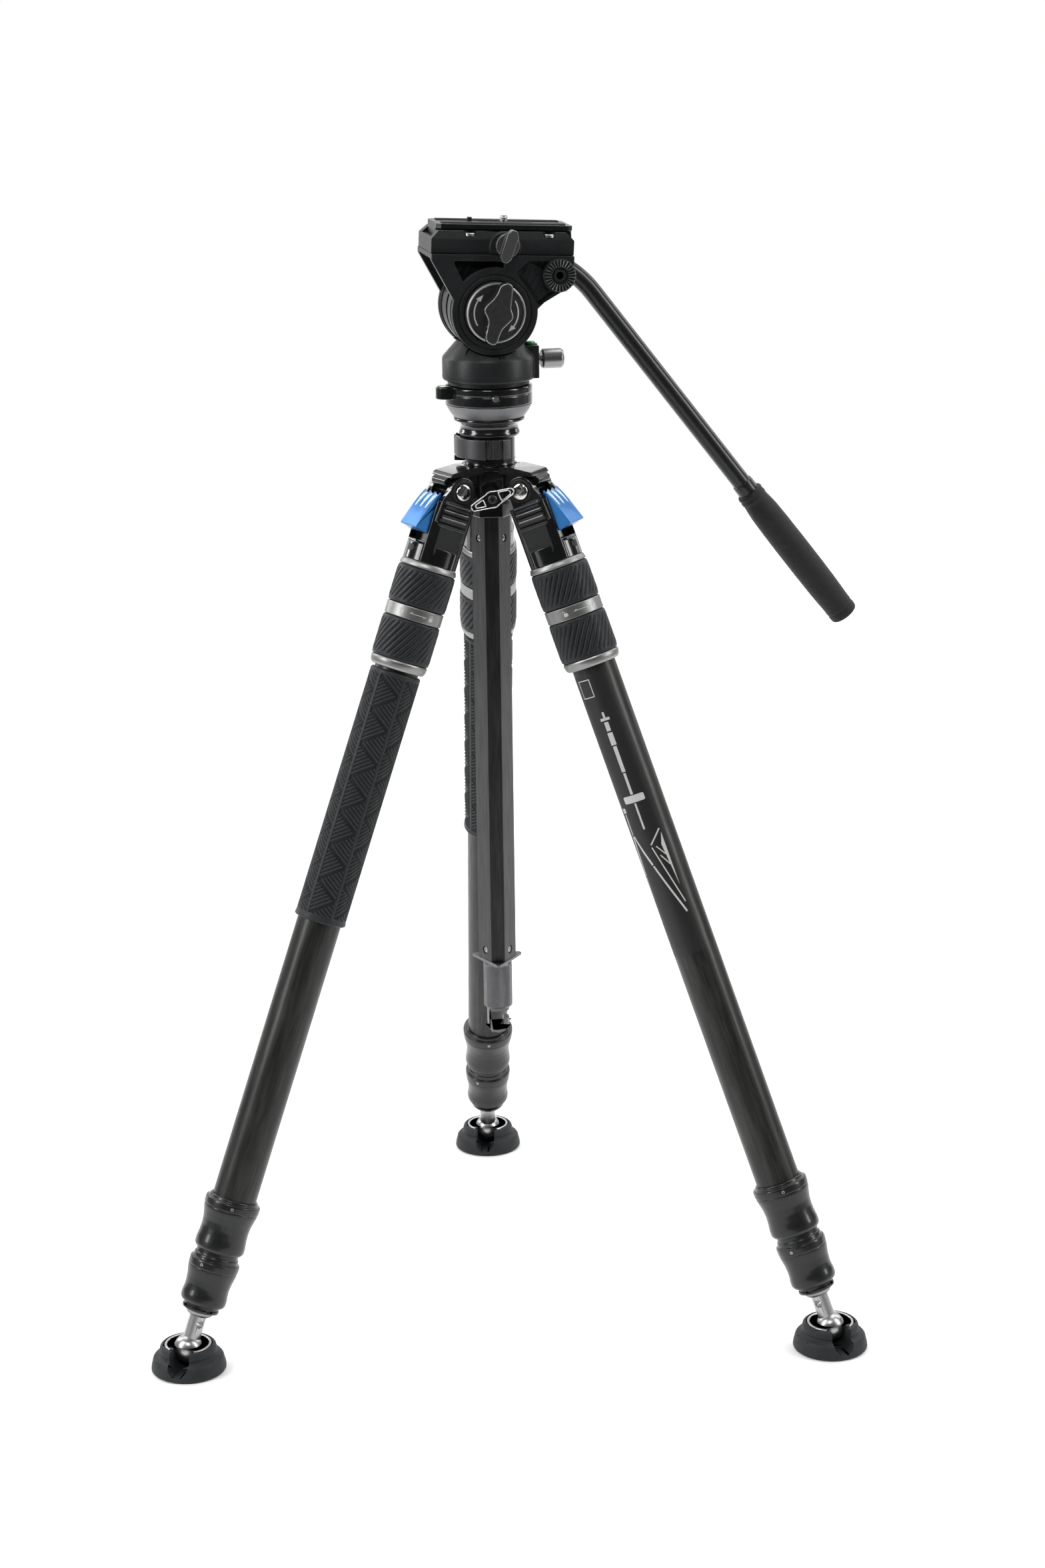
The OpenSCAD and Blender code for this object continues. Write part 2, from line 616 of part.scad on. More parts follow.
module plate_pads() color("#2b2d2e") platform_frame() translate([plate_x, 0, 0]) for (s = [-1, 1])
    box(-plate_l / 2 + 5, plate_l / 2 - 5, s * 12.6 - 4.4, s * 12.6 + 4.4, plate_top, plate_top + 0.9);

module camera_screw() color("#b5b6b8") platform_frame() translate([10.5, 0, 0]) {
    translate([0, 0, 58]) cylinder(r = 7.2, h = 3.7);
    // relieved shank, then the threaded end
    translate([0, 0, 61]) cylinder(r = 2.6, h = 8);
    translate([0, 0, 67.2]) cylinder(r = 3.175, h = 5.2);
}

// ---------------------------------------------------------------- pan handle

module rod_frame() platform_frame() translate([0, rod_plane, 0]) children();
module along_rod(s)
    rod_frame() translate([bend_end()[0], 0, bend_end()[1]])
        rotate([0, 90 + rod_slope, 0]) translate([0, 0, s]) children();

module handle_tube() color("#111213") difference() {
    union() {
        along_rod(0) cylinder(d = rod_d, h = rod_l - 2);
        // plug that joins the straight to the bend
        along_rod(-5) cylinder(d = rod_d - 2, h = 10);
        rod_frame() translate([bend_start[0], 0, bend_start[1]]) rotate([90, rod_slope - bend_deg, 0])
            translate([0, -bend_r, 0]) rotate([0, 0, 90 - bend_deg]) rotate_extrude(angle = bend_deg)
            translate([bend_r, 0]) circle(d = rod_d);
        rod_frame() translate([bend_start[0], 0, bend_start[1]])
            rotate([0, 90 + rod_slope - bend_deg, 0]) translate([0, 0, -10]) cylinder(d = rod_d, h = 10);
        platform_frame() at_xz(rosette[0], rosette[1]) y_cyl(rosette_r, 33.2, 49);
    }
    platform_frame() at_xz(rosette[0], rosette[1]) y_cyl(3.05, 20, 60);
}

module handle_grip() color("#1f2021") along_rod(rod_l - grip_l) difference() {
    lathe([[0, 0], [9.6, 0], [11, 1], [11.4, 3], [10.6, 4.4], [11.4, 5.8], [11.4, 8], [10.9, 9.4],
           [12.4, 24], [13, 60], [12.8, 105], [12, 128], [12.2, 130], [11.6, 131.4], [12.2, 133],
           [12, grip_l], [11, grip_l + 2], [0, grip_l + 2]]);
    translate([0, 0, -1]) cylinder(r = rod_d / 2 + 0.02, h = grip_l - 0.5);
}

module handle_bolt() color("#6c6d6f") platform_frame() at_xz(rosette[0], rosette[1]) {
    y_cyl(2.95, 24, 52);
    translate([0, 49.3, 0]) rotate([-90, 0, 0]) lathe([[0, 0], [8, 0], [9, 1], [9, 9], [8, 10.4], [0, 10.4]]);
}

// ---------------------------------------------------------------- nodes

for (i = [0:2]) {
    leg_casting(i);
    angle_tab(i);
    upper_section(i);
    trim_rings(i);
    upper_lock(i);
    lower_lock(i);
    middle_section(i);
    lower_section(i);
    foot_stem(i);
    foot_pad(i);
}
grip_sleeve(0);  // grip_sleeve_left
grip_sleeve(2);  // grip_sleeve_rear
hinge_bolts();
spider();
wing_knob();
column_tube();
column_plate();
end_knob();
end_hook();
column_neck();
flip_lever();
bowl_collar();
half_ball();
levelling_base();
base_bubble();
pan_base();
pan_bubble();
pan_knob();
tilt_core();
tilt_knob();
cradle();
clamp_body();
clamp_jaw();
plate_lock_knob();
quick_plate();
plate_pads();
camera_screw();
handle_tube();
handle_grip();
handle_bolt();
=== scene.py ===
"""Looks of the three-leg camera support with its fluid head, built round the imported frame.

Local frames repeat those of part.scad, worked out from the record's joints. Sizes are
millimetres in those frames; MM turns them into the scene's metres.
"""

import bmesh
import bpy
import json
from math import atan2, ceil, cos, degrees, exp, hypot, pi, radians, sin, tan
from mathutils import Matrix, Vector


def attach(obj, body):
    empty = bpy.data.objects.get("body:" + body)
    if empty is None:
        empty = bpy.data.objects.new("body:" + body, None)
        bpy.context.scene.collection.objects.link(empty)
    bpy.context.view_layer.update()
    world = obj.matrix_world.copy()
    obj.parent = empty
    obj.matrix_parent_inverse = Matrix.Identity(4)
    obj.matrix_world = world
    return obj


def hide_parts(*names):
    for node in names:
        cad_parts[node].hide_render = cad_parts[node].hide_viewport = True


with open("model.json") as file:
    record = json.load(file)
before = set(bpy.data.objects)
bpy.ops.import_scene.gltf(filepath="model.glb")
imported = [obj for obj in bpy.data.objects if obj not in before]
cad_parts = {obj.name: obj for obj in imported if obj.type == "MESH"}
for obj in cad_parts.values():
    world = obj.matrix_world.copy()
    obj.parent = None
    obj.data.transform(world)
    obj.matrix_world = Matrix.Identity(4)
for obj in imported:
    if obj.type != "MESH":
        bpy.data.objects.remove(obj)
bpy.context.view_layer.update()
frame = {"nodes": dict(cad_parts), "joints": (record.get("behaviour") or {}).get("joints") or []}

MM = 0.001
SIDES = ("left", "right", "rear")
JOINTS = {joint["name"]: joint for joint in frame["joints"]}

# ---------------------------------------------------------------- local frames


def joint_point(name):
    return Vector(JOINTS[name]["pos_m"])


def joint_axis(name):
    return Vector(JOINTS[name]["axis"]).normalized()


def axes_frame(origin, y_axis, z_axis):
    """Frame at origin with the given Y and Z directions."""
    y_dir, z_dir = y_axis.normalized(), z_axis.normalized()
    x_dir = y_dir.cross(z_dir).normalized()
    z_dir = x_dir.cross(y_dir)
    return Matrix.Translation(origin) @ Matrix((x_dir, y_dir, z_dir)).transposed().to_4x4()


def shift(x, y, z):
    return Matrix.Translation(Vector((x, y, z)) * MM)


def turn(angle, axis):
    return Matrix.Rotation(radians(angle), 4, axis)


def outward(where, azimuth, radius, height):
    """Frame whose Z points away from the axis, at a radius, an azimuth and a height."""
    return where @ turn(azimuth, "Z") @ shift(radius, 0, height) @ turn(90, "Y")


UP = Vector((0, 0, 1))
column_spot = joint_point("column_lock_turn")
COLUMN = Matrix.Translation(Vector((column_spot.x, column_spot.y, 0)))
LEG = {
    side: axes_frame(
        joint_point(f"foot_{side}_swivel"),
        -joint_axis(f"leg_{side}_splay"),
        -joint_axis(f"middle_{side}_extend"),
    )
    for side in SIDES
}
HEAD = axes_frame(COLUMN.translation, joint_axis("head_tilt"), UP)
PLATFORM = axes_frame(
    joint_point("head_tilt"),
    joint_axis("head_tilt"),
    joint_axis("plate_slide").cross(joint_axis("head_tilt")),
)
TILT_Z = joint_point("head_tilt").z / MM
rosette_local = PLATFORM.inverted() @ joint_point("handle_swing") / MM
ROSETTE = (rosette_local.x, rosette_local.z)
ROD_PLANE = rosette_local.y
ROD_SLOPE = 49.2
BEND_R = 90.0
BEND_DEG = 30.0
BEND_START = (56.5, 34.5)
ROD_L = 352.0
GRIP_L = 137.0

HINGE_T = (LEG["left"].inverted() @ joint_point("leg_left_splay")).z / MM

# ---------------------------------------------------------------- materials


class Shader:
    """Small helper that wires one Principled material."""

    def __init__(self, name, color, rough, metal=0.0, **sockets):
        self.mat = bpy.data.materials.new(name)
        self.mat.use_nodes = True
        self.nodes = self.mat.node_tree.nodes
        self.links = self.mat.node_tree.links
        self.bsdf = self.nodes["Principled BSDF"]
        self.color = color
        self.rough = rough
        self.set("Base Color", (*color, 1))
        self.set("Roughness", rough)
        self.set("Metallic", metal)
        for socket, value in sockets.items():
            self.set(socket.replace("_", " "), value)
        coords = self.nodes.new("ShaderNodeTexCoord")
        scale = self.nodes.new("ShaderNodeVectorMath")
        scale.operation = "SCALE"
        scale.inputs["Scale"].default_value = 1 / MM
        self.links.new(coords.outputs["Object"], scale.inputs[0])
        self.place = scale.outputs["Vector"]

    def set(self, socket, value):
        self.bsdf.inputs[socket].default_value = value

    def mapped(self, stretch):
        mapping = self.nodes.new("ShaderNodeMapping")
        mapping.inputs["Scale"].default_value = stretch
        self.links.new(self.place, mapping.inputs["Vector"])
        return mapping.outputs["Vector"]

    def noise(self, scale, detail=2.0, stretch=(1, 1, 1), roughness=0.5):
        """Noise whose scale is in features per millimetre."""
        tex = self.nodes.new("ShaderNodeTexNoise")
        tex.inputs["Scale"].default_value = scale
        tex.inputs["Detail"].default_value = detail
        tex.inputs["Roughness"].default_value = roughness
        self.links.new(self.mapped(stretch), tex.inputs["Vector"])
        return tex.outputs["Fac"]

    def cells(self, scale):
        tex = self.nodes.new("ShaderNodeTexVoronoi")
        tex.inputs["Scale"].default_value = scale
        self.links.new(self.place, tex.inputs["Vector"])
        return tex.outputs["Distance"]

    def remap(self, value, low, high, to_low, to_high):
        node = self.nodes.new("ShaderNodeMapRange")
        node.inputs["From Min"].default_value = low
        node.inputs["From Max"].default_value = high
        node.inputs["To Min"].default_value = to_low
        node.inputs["To Max"].default_value = to_high
        self.links.new(value, node.inputs["Value"])
        return node.outputs["Result"]

    def tint(self, factor, color):
        """Mixes another colour in where factor is 1."""
        mix = self.nodes.new("ShaderNodeMix")
        mix.data_type = "RGBA"
        self.links.new(factor, mix.inputs["Factor"])
        base = self.bsdf.inputs["Base Color"]
        if base.is_linked:
            self.links.new(base.links[0].from_socket, mix.inputs["A"])
        else:
            mix.inputs["A"].default_value = base.default_value
        mix.inputs["B"].default_value = (*color, 1)
        self.links.new(mix.outputs["Result"], base)
        return self

    def mottle(self, value, low, high, amount, color):
        """Mixes another colour in as value goes from low to high."""
        return self.tint(self.remap(value, low, high, 0, amount), color)

    def vary_rough(self, value, amount):
        low, high = self.rough - amount, self.rough + amount
        self.links.new(self.remap(value, 0.3, 0.7, low, high), self.bsdf.inputs["Roughness"])
        return self

    def bump(self, value, height):
        """Adds relief of that height in millimetres."""
        node = self.nodes.new("ShaderNodeBump")
        node.inputs["Strength"].default_value = 1.0
        node.inputs["Distance"].default_value = height * MM
        self.links.new(value, node.inputs["Height"])
        normal = self.bsdf.inputs["Normal"]
        if normal.is_linked:
            self.links.new(normal.links[0].from_socket, node.inputs["Normal"])
        self.links.new(node.outputs["Normal"], normal)
        return self


def scaled(color, factor):
    return tuple(min(1.0, channel * factor) for channel in color)


def gloss_paint(name, color, rough, coat=0.5):
    s = Shader(name, color, rough, Coat_Weight=coat, Coat_Roughness=0.05, Specular_IOR_Level=0.35)
    s.mottle(s.noise(0.05, 3), 0.4, 0.7, 0.6, scaled(color, 1.8))
    s.mottle(s.cells(0.16), 0.05, 0.035, 0.3, (0.12, 0.12, 0.115))
    s.vary_rough(s.noise(0.3, 2), 0.03)
    return s.bump(s.noise(1.2, 1), 0.0015).mat


def grain_paint(name, color, rough, grain=0.03):
    s = Shader(name, color, rough, Specular_IOR_Level=0.28)
    s.mottle(s.noise(0.06, 3), 0.35, 0.7, 0.5, scaled(color, 1.6))
    s.mottle(s.noise(2.6, 2), 0.6, 0.72, 0.35, scaled(color, 3.0))
    s.vary_rough(s.noise(0.8, 3), 0.07)
    return s.bump(s.noise(2.8, 3), grain).mat


def anodised(name, color, rough, metal=0.7):
    """Dyed metal: a clean satin sheen with very fine grain."""
    s = Shader(name, color, rough, metal, Coat_Weight=0.12, Coat_Roughness=0.15)
    s.mottle(s.noise(0.12, 2), 0.4, 0.75, 0.3, scaled(color, 1.3))
    s.vary_rough(s.noise(0.5, 2), 0.03)
    return s.bump(s.noise(3.0, 2), 0.002).mat


def turned_metal(name, color, rough, anisotropy=0.4, stretch=(0.4, 0.4, 9.0)):
    s = Shader(name, color, rough, 1.0, Anisotropic=anisotropy)
    lines = s.noise(1.0, 4, stretch)
    s.mottle(lines, 0.35, 0.7, 0.35, scaled(color, 0.72))
    s.mottle(s.noise(0.08, 2), 0.4, 0.75, 0.25, scaled(color, 1.15))
    s.vary_rough(lines, 0.06)
    return s.bump(lines, 0.008).mat


def rubber(name, color, rough, grain=0.02):
    s = Shader(name, color, rough, Specular_IOR_Level=0.25, Sheen_Weight=0.03, Sheen_Roughness=0.6)
    s.mottle(s.noise(0.09, 4), 0.35, 0.7, 0.6, scaled(color, 1.45))
    s.mottle(s.noise(1.4, 3), 0.62, 0.75, 0.3, scaled(color, 0.55))
    s.vary_rough(s.noise(0.5, 3), 0.08)
    return s.bump(s.noise(3.0, 3), grain).mat


def fibre_tube(name, color, bright):
    """Carbon tube: faint marbled patches drawn out along the tube, under a satin lacquer."""
    s = Shader(name, color, 0.4, Coat_Weight=0.12, Coat_Roughness=0.2, Specular_IOR_Level=0.3)
    s.mottle(s.noise(0.16, 4, (1, 1, 0.14)), 0.46, 0.72, 0.75, bright)
    s.mottle(s.noise(1.1, 3, (1, 1, 0.03)), 0.5, 0.75, 0.55, scaled(bright, 1.25))
    s.mottle(s.noise(0.5, 3, (1, 1, 0.05)), 0.55, 0.8, 0.6, scaled(color, 0.35))
    s.vary_rough(s.noise(0.4, 3, (1, 1, 0.1)), 0.07)
    return s.bump(s.noise(1.6, 2, (1, 1, 0.04)), 0.01).mat


def clear_fluid(name, color):
    s = Shader(name, color, 0.08, Transmission_Weight=0.45, IOR=1.45, Coat_Weight=0.6)
    s.mottle(s.noise(0.5, 2), 0.4, 0.7, 0.5, scaled(color, 1.5))
    return s.bump(s.noise(0.4, 2), 0.01).mat


def printed(name, color):
    s = Shader(name, color, 0.5)
    s.mottle(s.noise(2.0, 3), 0.55, 0.7, 0.4, scaled(color, 0.8))
    return s.bump(s.noise(3.0, 2), 0.004).mat


def dotted_rubber(name, color):
    """Grip rubber with a fine field of moulded dots."""
    s = Shader(name, color, 0.6, Specular_IOR_Level=0.3, Sheen_Weight=0.03)
    s.mottle(s.noise(0.1, 3), 0.35, 0.7, 0.5, scaled(color, 1.5))
    dots = s.cells(0.85)
    s.mottle(dots, 0.45, 0.15, 0.35, scaled(color, 2.0))
    s.vary_rough(s.noise(0.5, 3), 0.06)
    return s.bump(s.remap(dots, 0.5, 0.1, 0, 1), 0.22).mat


GLOSS_BLACK = gloss_paint("gloss_black", (0.0045, 0.0048, 0.0052), 0.2, 0.7)
SATIN_BLACK = gloss_paint("satin_black", (0.006, 0.0063, 0.0068), 0.36, 0.25)
HEAD_BLACK = grain_paint("head_black", (0.0095, 0.0102, 0.0108), 0.4)
MATT_BLACK = grain_paint("matt_black", (0.008, 0.0084, 0.0088), 0.46, 0.02)
PLATE_BLACK = grain_paint("plate_black", (0.006, 0.0063, 0.0067), 0.34, 0.012)
BLUE = anodised("blue_anodised", (0.025, 0.15, 0.4), 0.4)
SILVER = turned_metal("satin_silver", (0.3, 0.3, 0.295), 0.42)
BRIGHT = turned_metal("polished_edge", (0.8, 0.8, 0.8), 0.24, 0.0)
# pale blue-white for the tab scoops: a painted highlight standing in for the reflection of the lights
BLUE_SCOOP_HIGHLIGHT = anodised("blue_scoop_painted_highlight", (0.55, 0.7, 0.9), 0.35, 0.2)
CHROME = turned_metal("bolt_chrome", (0.62, 0.6, 0.58), 0.12, 0.0, (1, 1, 1))
STEEL = turned_metal("turned_steel", (0.45, 0.45, 0.45), 0.33)
DARK_GREY = turned_metal("dark_anodised", (0.1, 0.1, 0.104), 0.4, 0.0, (1, 1, 1))
MID_GREY = turned_metal("grey_anodised", (0.17, 0.17, 0.175), 0.42, 0.0)
KNOB_SILVER = turned_metal("knob_silver", (0.3, 0.3, 0.305), 0.32, 0.3, (7.0, 0.3, 0.3))
LOCK_RUBBER = rubber("lock_rubber", (0.013, 0.0148, 0.0165), 0.42)
SLEEVE_RUBBER = rubber("sleeve_rubber", (0.0165, 0.019, 0.021), 0.46)
# near-black rubber for the sleeve's groove faces: painted shade in the recesses
GROOVE_PAINTED_SHADE = rubber("groove_painted_shade", (0.0035, 0.004, 0.0045), 0.6)
FOOT_RUBBER = rubber("foot_rubber", (0.015, 0.0172, 0.0185), 0.58, 0.04)
PAD_RUBBER = rubber("pad_rubber", (0.02, 0.021, 0.022), 0.6)
GRIP_RUBBER = dotted_rubber("grip_rubber", (0.008, 0.0083, 0.0087))
CARBON = fibre_tube("carbon_tube", (0.009, 0.0092, 0.0087), (0.034, 0.0335, 0.030))
COLUMN_CARBON = fibre_tube("carbon_column", (0.0065, 0.007, 0.0066), (0.03, 0.031, 0.029))
GREEN = clear_fluid("level_green", (0.03, 0.55, 0.06))
LIME = clear_fluid("level_lime", (0.35, 0.72, 0.2))
PRINT = printed("light_print", (0.5, 0.5, 0.49))
LABEL = printed("label_black", (0.004, 0.004, 0.0045))

# ---------------------------------------------------------------- mesh tools


def soften(points, radius, steps=4, closed=True):
    """Rounds the corners of an outline; a third number in a point is its own radius."""
    result = []
    count = len(points)
    for i, point in enumerate(points):
        here = Vector(point[:2])
        cut = point[2] if len(point) > 2 else radius
        if cut == 0 or (not closed and i in (0, count - 1)):
            result.append(here)
            continue
        before = Vector(points[i - 1][:2])
        after = Vector(points[(i + 1) % count][:2])
        start = here + (before - here).normalized() * min(cut, (before - here).length * 0.48)
        end = here + (after - here).normalized() * min(cut, (after - here).length * 0.48)
        for k in range(steps + 1):
            t = k / steps
            result.append(start * (1 - t) ** 2 + here * 2 * t * (1 - t) + end * t * t)
    return [tuple(p) for p in result]


def spline(points, steps=6):
    """Closed smooth outline through the points."""
    result = []
    count = len(points)
    for i in range(count):
        p = [Vector(points[(i + k - 1) % count]) for k in range(4)]
        for k in range(steps):
            t = k / steps
            result.append(
                0.5
                * (
                    2 * p[1]
                    + (p[2] - p[0]) * t
                    + (2 * p[0] - 5 * p[1] + 4 * p[2] - p[3]) * t * t
                    + (3 * p[1] - p[0] - 3 * p[2] + p[3]) * t**3
                )
            )
    return [tuple(p) for p in result]


def circle(radius, count=48, center=(0, 0), start=0.0, sweep=360.0):
    span = count if sweep == 360.0 else count - 1
    return [
        (
            center[0] + radius * cos(radians(start + sweep * k / span)),
            center[1] + radius * sin(radians(start + sweep * k / span)),
        )
        for k in range(count)
    ]


def place(name, data, where):
    """New object in the scene with that data and frame."""
    obj = bpy.data.objects.new(name, data)
    obj.matrix_world = where
    bpy.context.scene.collection.objects.link(obj)
    return obj


def make(name, bm, where):
    """Turns a bmesh in local millimetres into an object in that frame."""
    bmesh.ops.recalc_face_normals(bm, faces=bm.faces[:])
    bmesh.ops.scale(bm, vec=(MM, MM, MM), verts=bm.verts[:])
    mesh = bpy.data.meshes.new(name)
    bm.to_mesh(mesh)
    bm.free()
    return place(name, mesh, where)


def evaluated(obj):
    """Mesh of an object with its modifiers or its curve settings applied."""
    bpy.context.view_layer.update()
    depsgraph = bpy.context.evaluated_depsgraph_get()
    return bpy.data.meshes.new_from_object(obj.evaluated_get(depsgraph))


def smooth(obj, angle=35.0):
    bm = bmesh.new()
    bm.from_mesh(obj.data)
    for face in bm.faces:
        face.smooth = True
    for edge in bm.edges:
        edge.smooth = len(edge.link_faces) == 2 and edge.calc_face_angle(0) < radians(angle)
    bm.to_mesh(obj.data)
    bm.free()


def weigh_edges(obj, width, angle):
    """Edge weights for a bevel, smaller where a crossing edge is short."""
    bm = bmesh.new()
    bm.from_mesh(obj.data)
    weights = bm.edges.layers.float.new("bevel_weight_edge")
    for edge in bm.edges:
        if len(edge.link_faces) != 2 or edge.calc_face_angle(0) < angle:
            continue
        along = (edge.verts[1].co - edge.verts[0].co).normalized()
        room = width
        for vert in edge.verts:
            for other in vert.link_edges:
                if other is edge:
                    continue
                way = other.other_vert(vert).co - vert.co
                if abs(way.normalized().dot(along)) < 0.85:
                    room = min(room, way.length * 0.45)
        if room > width * 0.12:
            edge[weights] = room / width
    bm.to_mesh(obj.data)
    bm.free()


def finish(obj, material, body, nodes=(), bevel=0.0, angle=35.0, weighted=True):
    """Gives a piece its material, edges, body and the CAD nodes that it stands for."""
    if not obj.data.materials:
        obj.data.materials.append(material)
    smooth(obj, angle)
    if bevel:
        weigh_edges(obj, bevel * MM, radians(angle))
        mod = obj.modifiers.new("edges", "BEVEL")
        mod.width = bevel * MM
        mod.segments = 2
        mod.limit_method = "WEIGHT"
        mod.use_clamp_overlap = False
        mod.harden_normals = True
    elif weighted:
        mod = obj.modifiers.new("flats", "WEIGHTED_NORMAL")
        mod.keep_sharp = True
    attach(obj, body)
    if nodes:
        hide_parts(*nodes)
    return obj


def hoop(radius, z, count):
    """Points of a circle about Z."""
    steps = [2 * pi * k / count for k in range(count)]
    return [(radius * cos(a), radius * sin(a), z) for a in steps]


def paint_light_faces(obj, main, other, chosen):
    """Main material, with the other one on the faces whose centre passes the test, used to paint
    highlight or shade onto those faces.
    """
    obj.data.materials.append(main)
    obj.data.materials.append(other)
    for polygon in obj.data.polygons:
        if chosen(polygon.center / MM):
            polygon.material_index = 1


def lathe_bm(profile, segments=96, closed=False):
    """Turns (radius, height) points about Z. A point on the axis becomes one vertex."""
    bm = bmesh.new()
    rings = []
    for r, z in profile:
        if r < 1e-6:
            rings.append([bm.verts.new((0, 0, z))])
        else:
            rings.append([bm.verts.new(point) for point in hoop(r, z, segments)])
    pairs = list(zip(rings, rings[1:]))
    if closed:
        pairs.append((rings[-1], rings[0]))
    for low, high in pairs:
        for k in range(segments):
            n = (k + 1) % segments
            corners = [low[k % len(low)], low[n % len(low)], high[n % len(high)], high[k % len(high)]]
            unique = list(dict.fromkeys(corners))
            if len(unique) > 2:
                bm.faces.new(unique)
    return bm


def lathe(name, profile, where, segments=96, closed=False):
    return make(name, lathe_bm(profile, segments, closed), where)


def ring(name, profile, bore, where, segments=96):
    """Lathe of an outer profile (from low to high) with a plain bore."""
    loop = list(profile) + [(bore, profile[-1][1]), (bore, profile[0][1])]
    return lathe(name, loop, where, segments, closed=True)


def grid(name, rows, where, wrap=True, caps=False, looped=False):
    """Surface through rows of points; wrap joins each row's end to its start."""
    bm = bmesh.new()
    verts = [[bm.verts.new(p) for p in row] for row in rows]
    across = len(verts[0])
    if looped:
        verts.append(verts[0])
    for a, b in zip(verts, verts[1:]):
        for k in range(across if wrap else across - 1):
            n = (k + 1) % across
            bm.faces.new((a[k], a[n], b[n], b[k]))
    if caps:
        bm.faces.new(verts[0])
        bm.faces.new(verts[-1])
    return make(name, bm, where)


def plate(name, loops, low, high, where, edge=0.4, plane="XZ", edge_steps=2):
    """Flat outline with holes and rounded edges. XZ is thick along Y, XY along Z."""
    curve = bpy.data.curves.new(name, "CURVE")
    curve.dimensions = "2D"
    curve.fill_mode = "BOTH"
    curve.extrude = max((high - low) / 2 - edge, 0.0) * MM
    curve.bevel_depth = edge * MM
    curve.bevel_resolution = edge_steps
    curve.offset = -edge * MM
    for loop in loops:
        line = curve.splines.new("POLY")
        line.points.add(len(loop) - 1)
        for point, (u, v) in zip(line.points, loop):
            point.co = (u * MM, v * MM, 0, 1)
        line.use_cyclic_u = True
    temp = place(name + "_curve", curve, Matrix())
    mesh = evaluated(temp)
    bpy.data.objects.remove(temp)
    bpy.data.curves.remove(curve)
    mid = (low + high) / 2
    if plane == "XZ":
        mesh.transform(shift(0, mid, 0) @ turn(90, "X"))
    else:
        mesh.transform(shift(0, 0, mid))
    mesh.name = name
    bm = bmesh.new()
    bm.from_mesh(mesh)
    bmesh.ops.remove_doubles(bm, verts=bm.verts[:], dist=1e-6)
    bmesh.ops.recalc_face_normals(bm, faces=bm.faces[:])
    bm.to_mesh(mesh)
    bm.free()
    mesh.materials.clear()
    return place(name, mesh, where)


def tube(name, path, radius, where, sides=24, closed=False):
    """Round bar along a path of points; radius may be a number or one per point."""
    points = [Vector(p) for p in path]
    count = len(points)
    radii = radius if isinstance(radius, (list, tuple)) else [radius] * count
    rows = []
    side = None
    for i, point in enumerate(points):
        before = points[i - 1] if closed or i else point
        after = points[(i + 1) % count] if closed or i < count - 1 else point
        along = (after - before).normalized()
        if side is None:
            side = along.orthogonal().normalized()
        side = (side - along * side.dot(along)).normalized()
        other = along.cross(side)
        rows.append(
            [
                point + (side * cos(2 * pi * k / sides) + other * sin(2 * pi * k / sides)) * radii[i]
                for k in range(sides)
            ]
        )
    return grid(name, rows, where, caps=not closed, looped=closed)


def local_copy(name, node, where):
    """Copy of a CAD node's mesh in a local frame, its flat faces made whole."""
    mesh = frame["nodes"][node].data.copy()
    mesh.name = name
    mesh.transform(where.inverted())
    mesh.materials.clear()
    bm = bmesh.new()
    bm.from_mesh(mesh)
    bmesh.ops.remove_doubles(bm, verts=bm.verts[:], dist=2e-6)
    bmesh.ops.dissolve_limit(bm, angle_limit=radians(0.6), verts=bm.verts[:], edges=bm.edges[:])
    bm.to_mesh(mesh)
    bm.free()
    return place(name, mesh, where)


def edge_path(outline, inset, depth):
    """Closed path along an XZ outline, moved inwards by inset, at one depth along Y."""
    path = []
    for i, (u, v) in enumerate(outline):
        along = Vector(outline[(i + 1) % len(outline)]) - Vector(outline[i - 1])
        normal = Vector((-along.y, along.x)).normalized()
        path.append((u + normal.x * inset, depth, v + normal.y * inset))
    return path


def boolean(obj, tools):
    """Cuts the tools out of a piece and removes them."""
    for tool in tools:
        mod = obj.modifiers.new("cut", "BOOLEAN")
        mod.operation = "DIFFERENCE"
        mod.solver = "EXACT"
        mod.object = tool
    mesh = evaluated(obj)
    obj.modifiers.clear()
    obj.data = mesh
    for tool in tools:
        bpy.data.objects.remove(tool)
    return obj


def refine(name, node, where, material, body, bevel=0.4, cuts=(), cut_highlight=None):
    """CAD shape with small rounded edges and, where given, finer cuts; a second material on the cut
    faces, where given, is a painted highlight.
    """
    obj = local_copy(name, node, where)
    # the cut faces take the second material: a painted highlight
    if cut_highlight:
        paint_light_faces(obj, material, cut_highlight, lambda middle: False)
        for tool in cuts:
            paint_light_faces(tool, material, cut_highlight, lambda middle: True)
    if cuts:
        boolean(obj, cuts)
    return finish(obj, material, body, (node,), bevel)


def wrap_flat(name, outlines, radius, azimuth, height, where, step=1.2):
    """Printed shapes laid round a cylinder, centred at an azimuth and a height."""
    bm = bmesh.new()
    for outline in outlines:
        bm.faces.new([bm.verts.new((u, v, 0)) for u, v in outline])
    wide = max(abs(u) for outline in outlines for u, v in outline)
    cuts = int(ceil(wide / step))
    for k in range(-cuts, cuts + 1):
        geometry = bm.verts[:] + bm.edges[:] + bm.faces[:]
        bmesh.ops.bisect_plane(bm, geom=geometry, plane_co=(k * step, 0, 0), plane_no=(1, 0, 0))
    for vert in bm.verts:
        angle = radians(azimuth) + vert.co.x / radius
        vert.co = Vector((radius * cos(angle), radius * sin(angle), height + vert.co.y))
    return make(name, bm, where)


def hex_socket(radius):
    return [(radius * cos(radians(60 * k)), radius * sin(radians(60 * k))) for k in range(6)]


# ---------------------------------------------------------------- legs

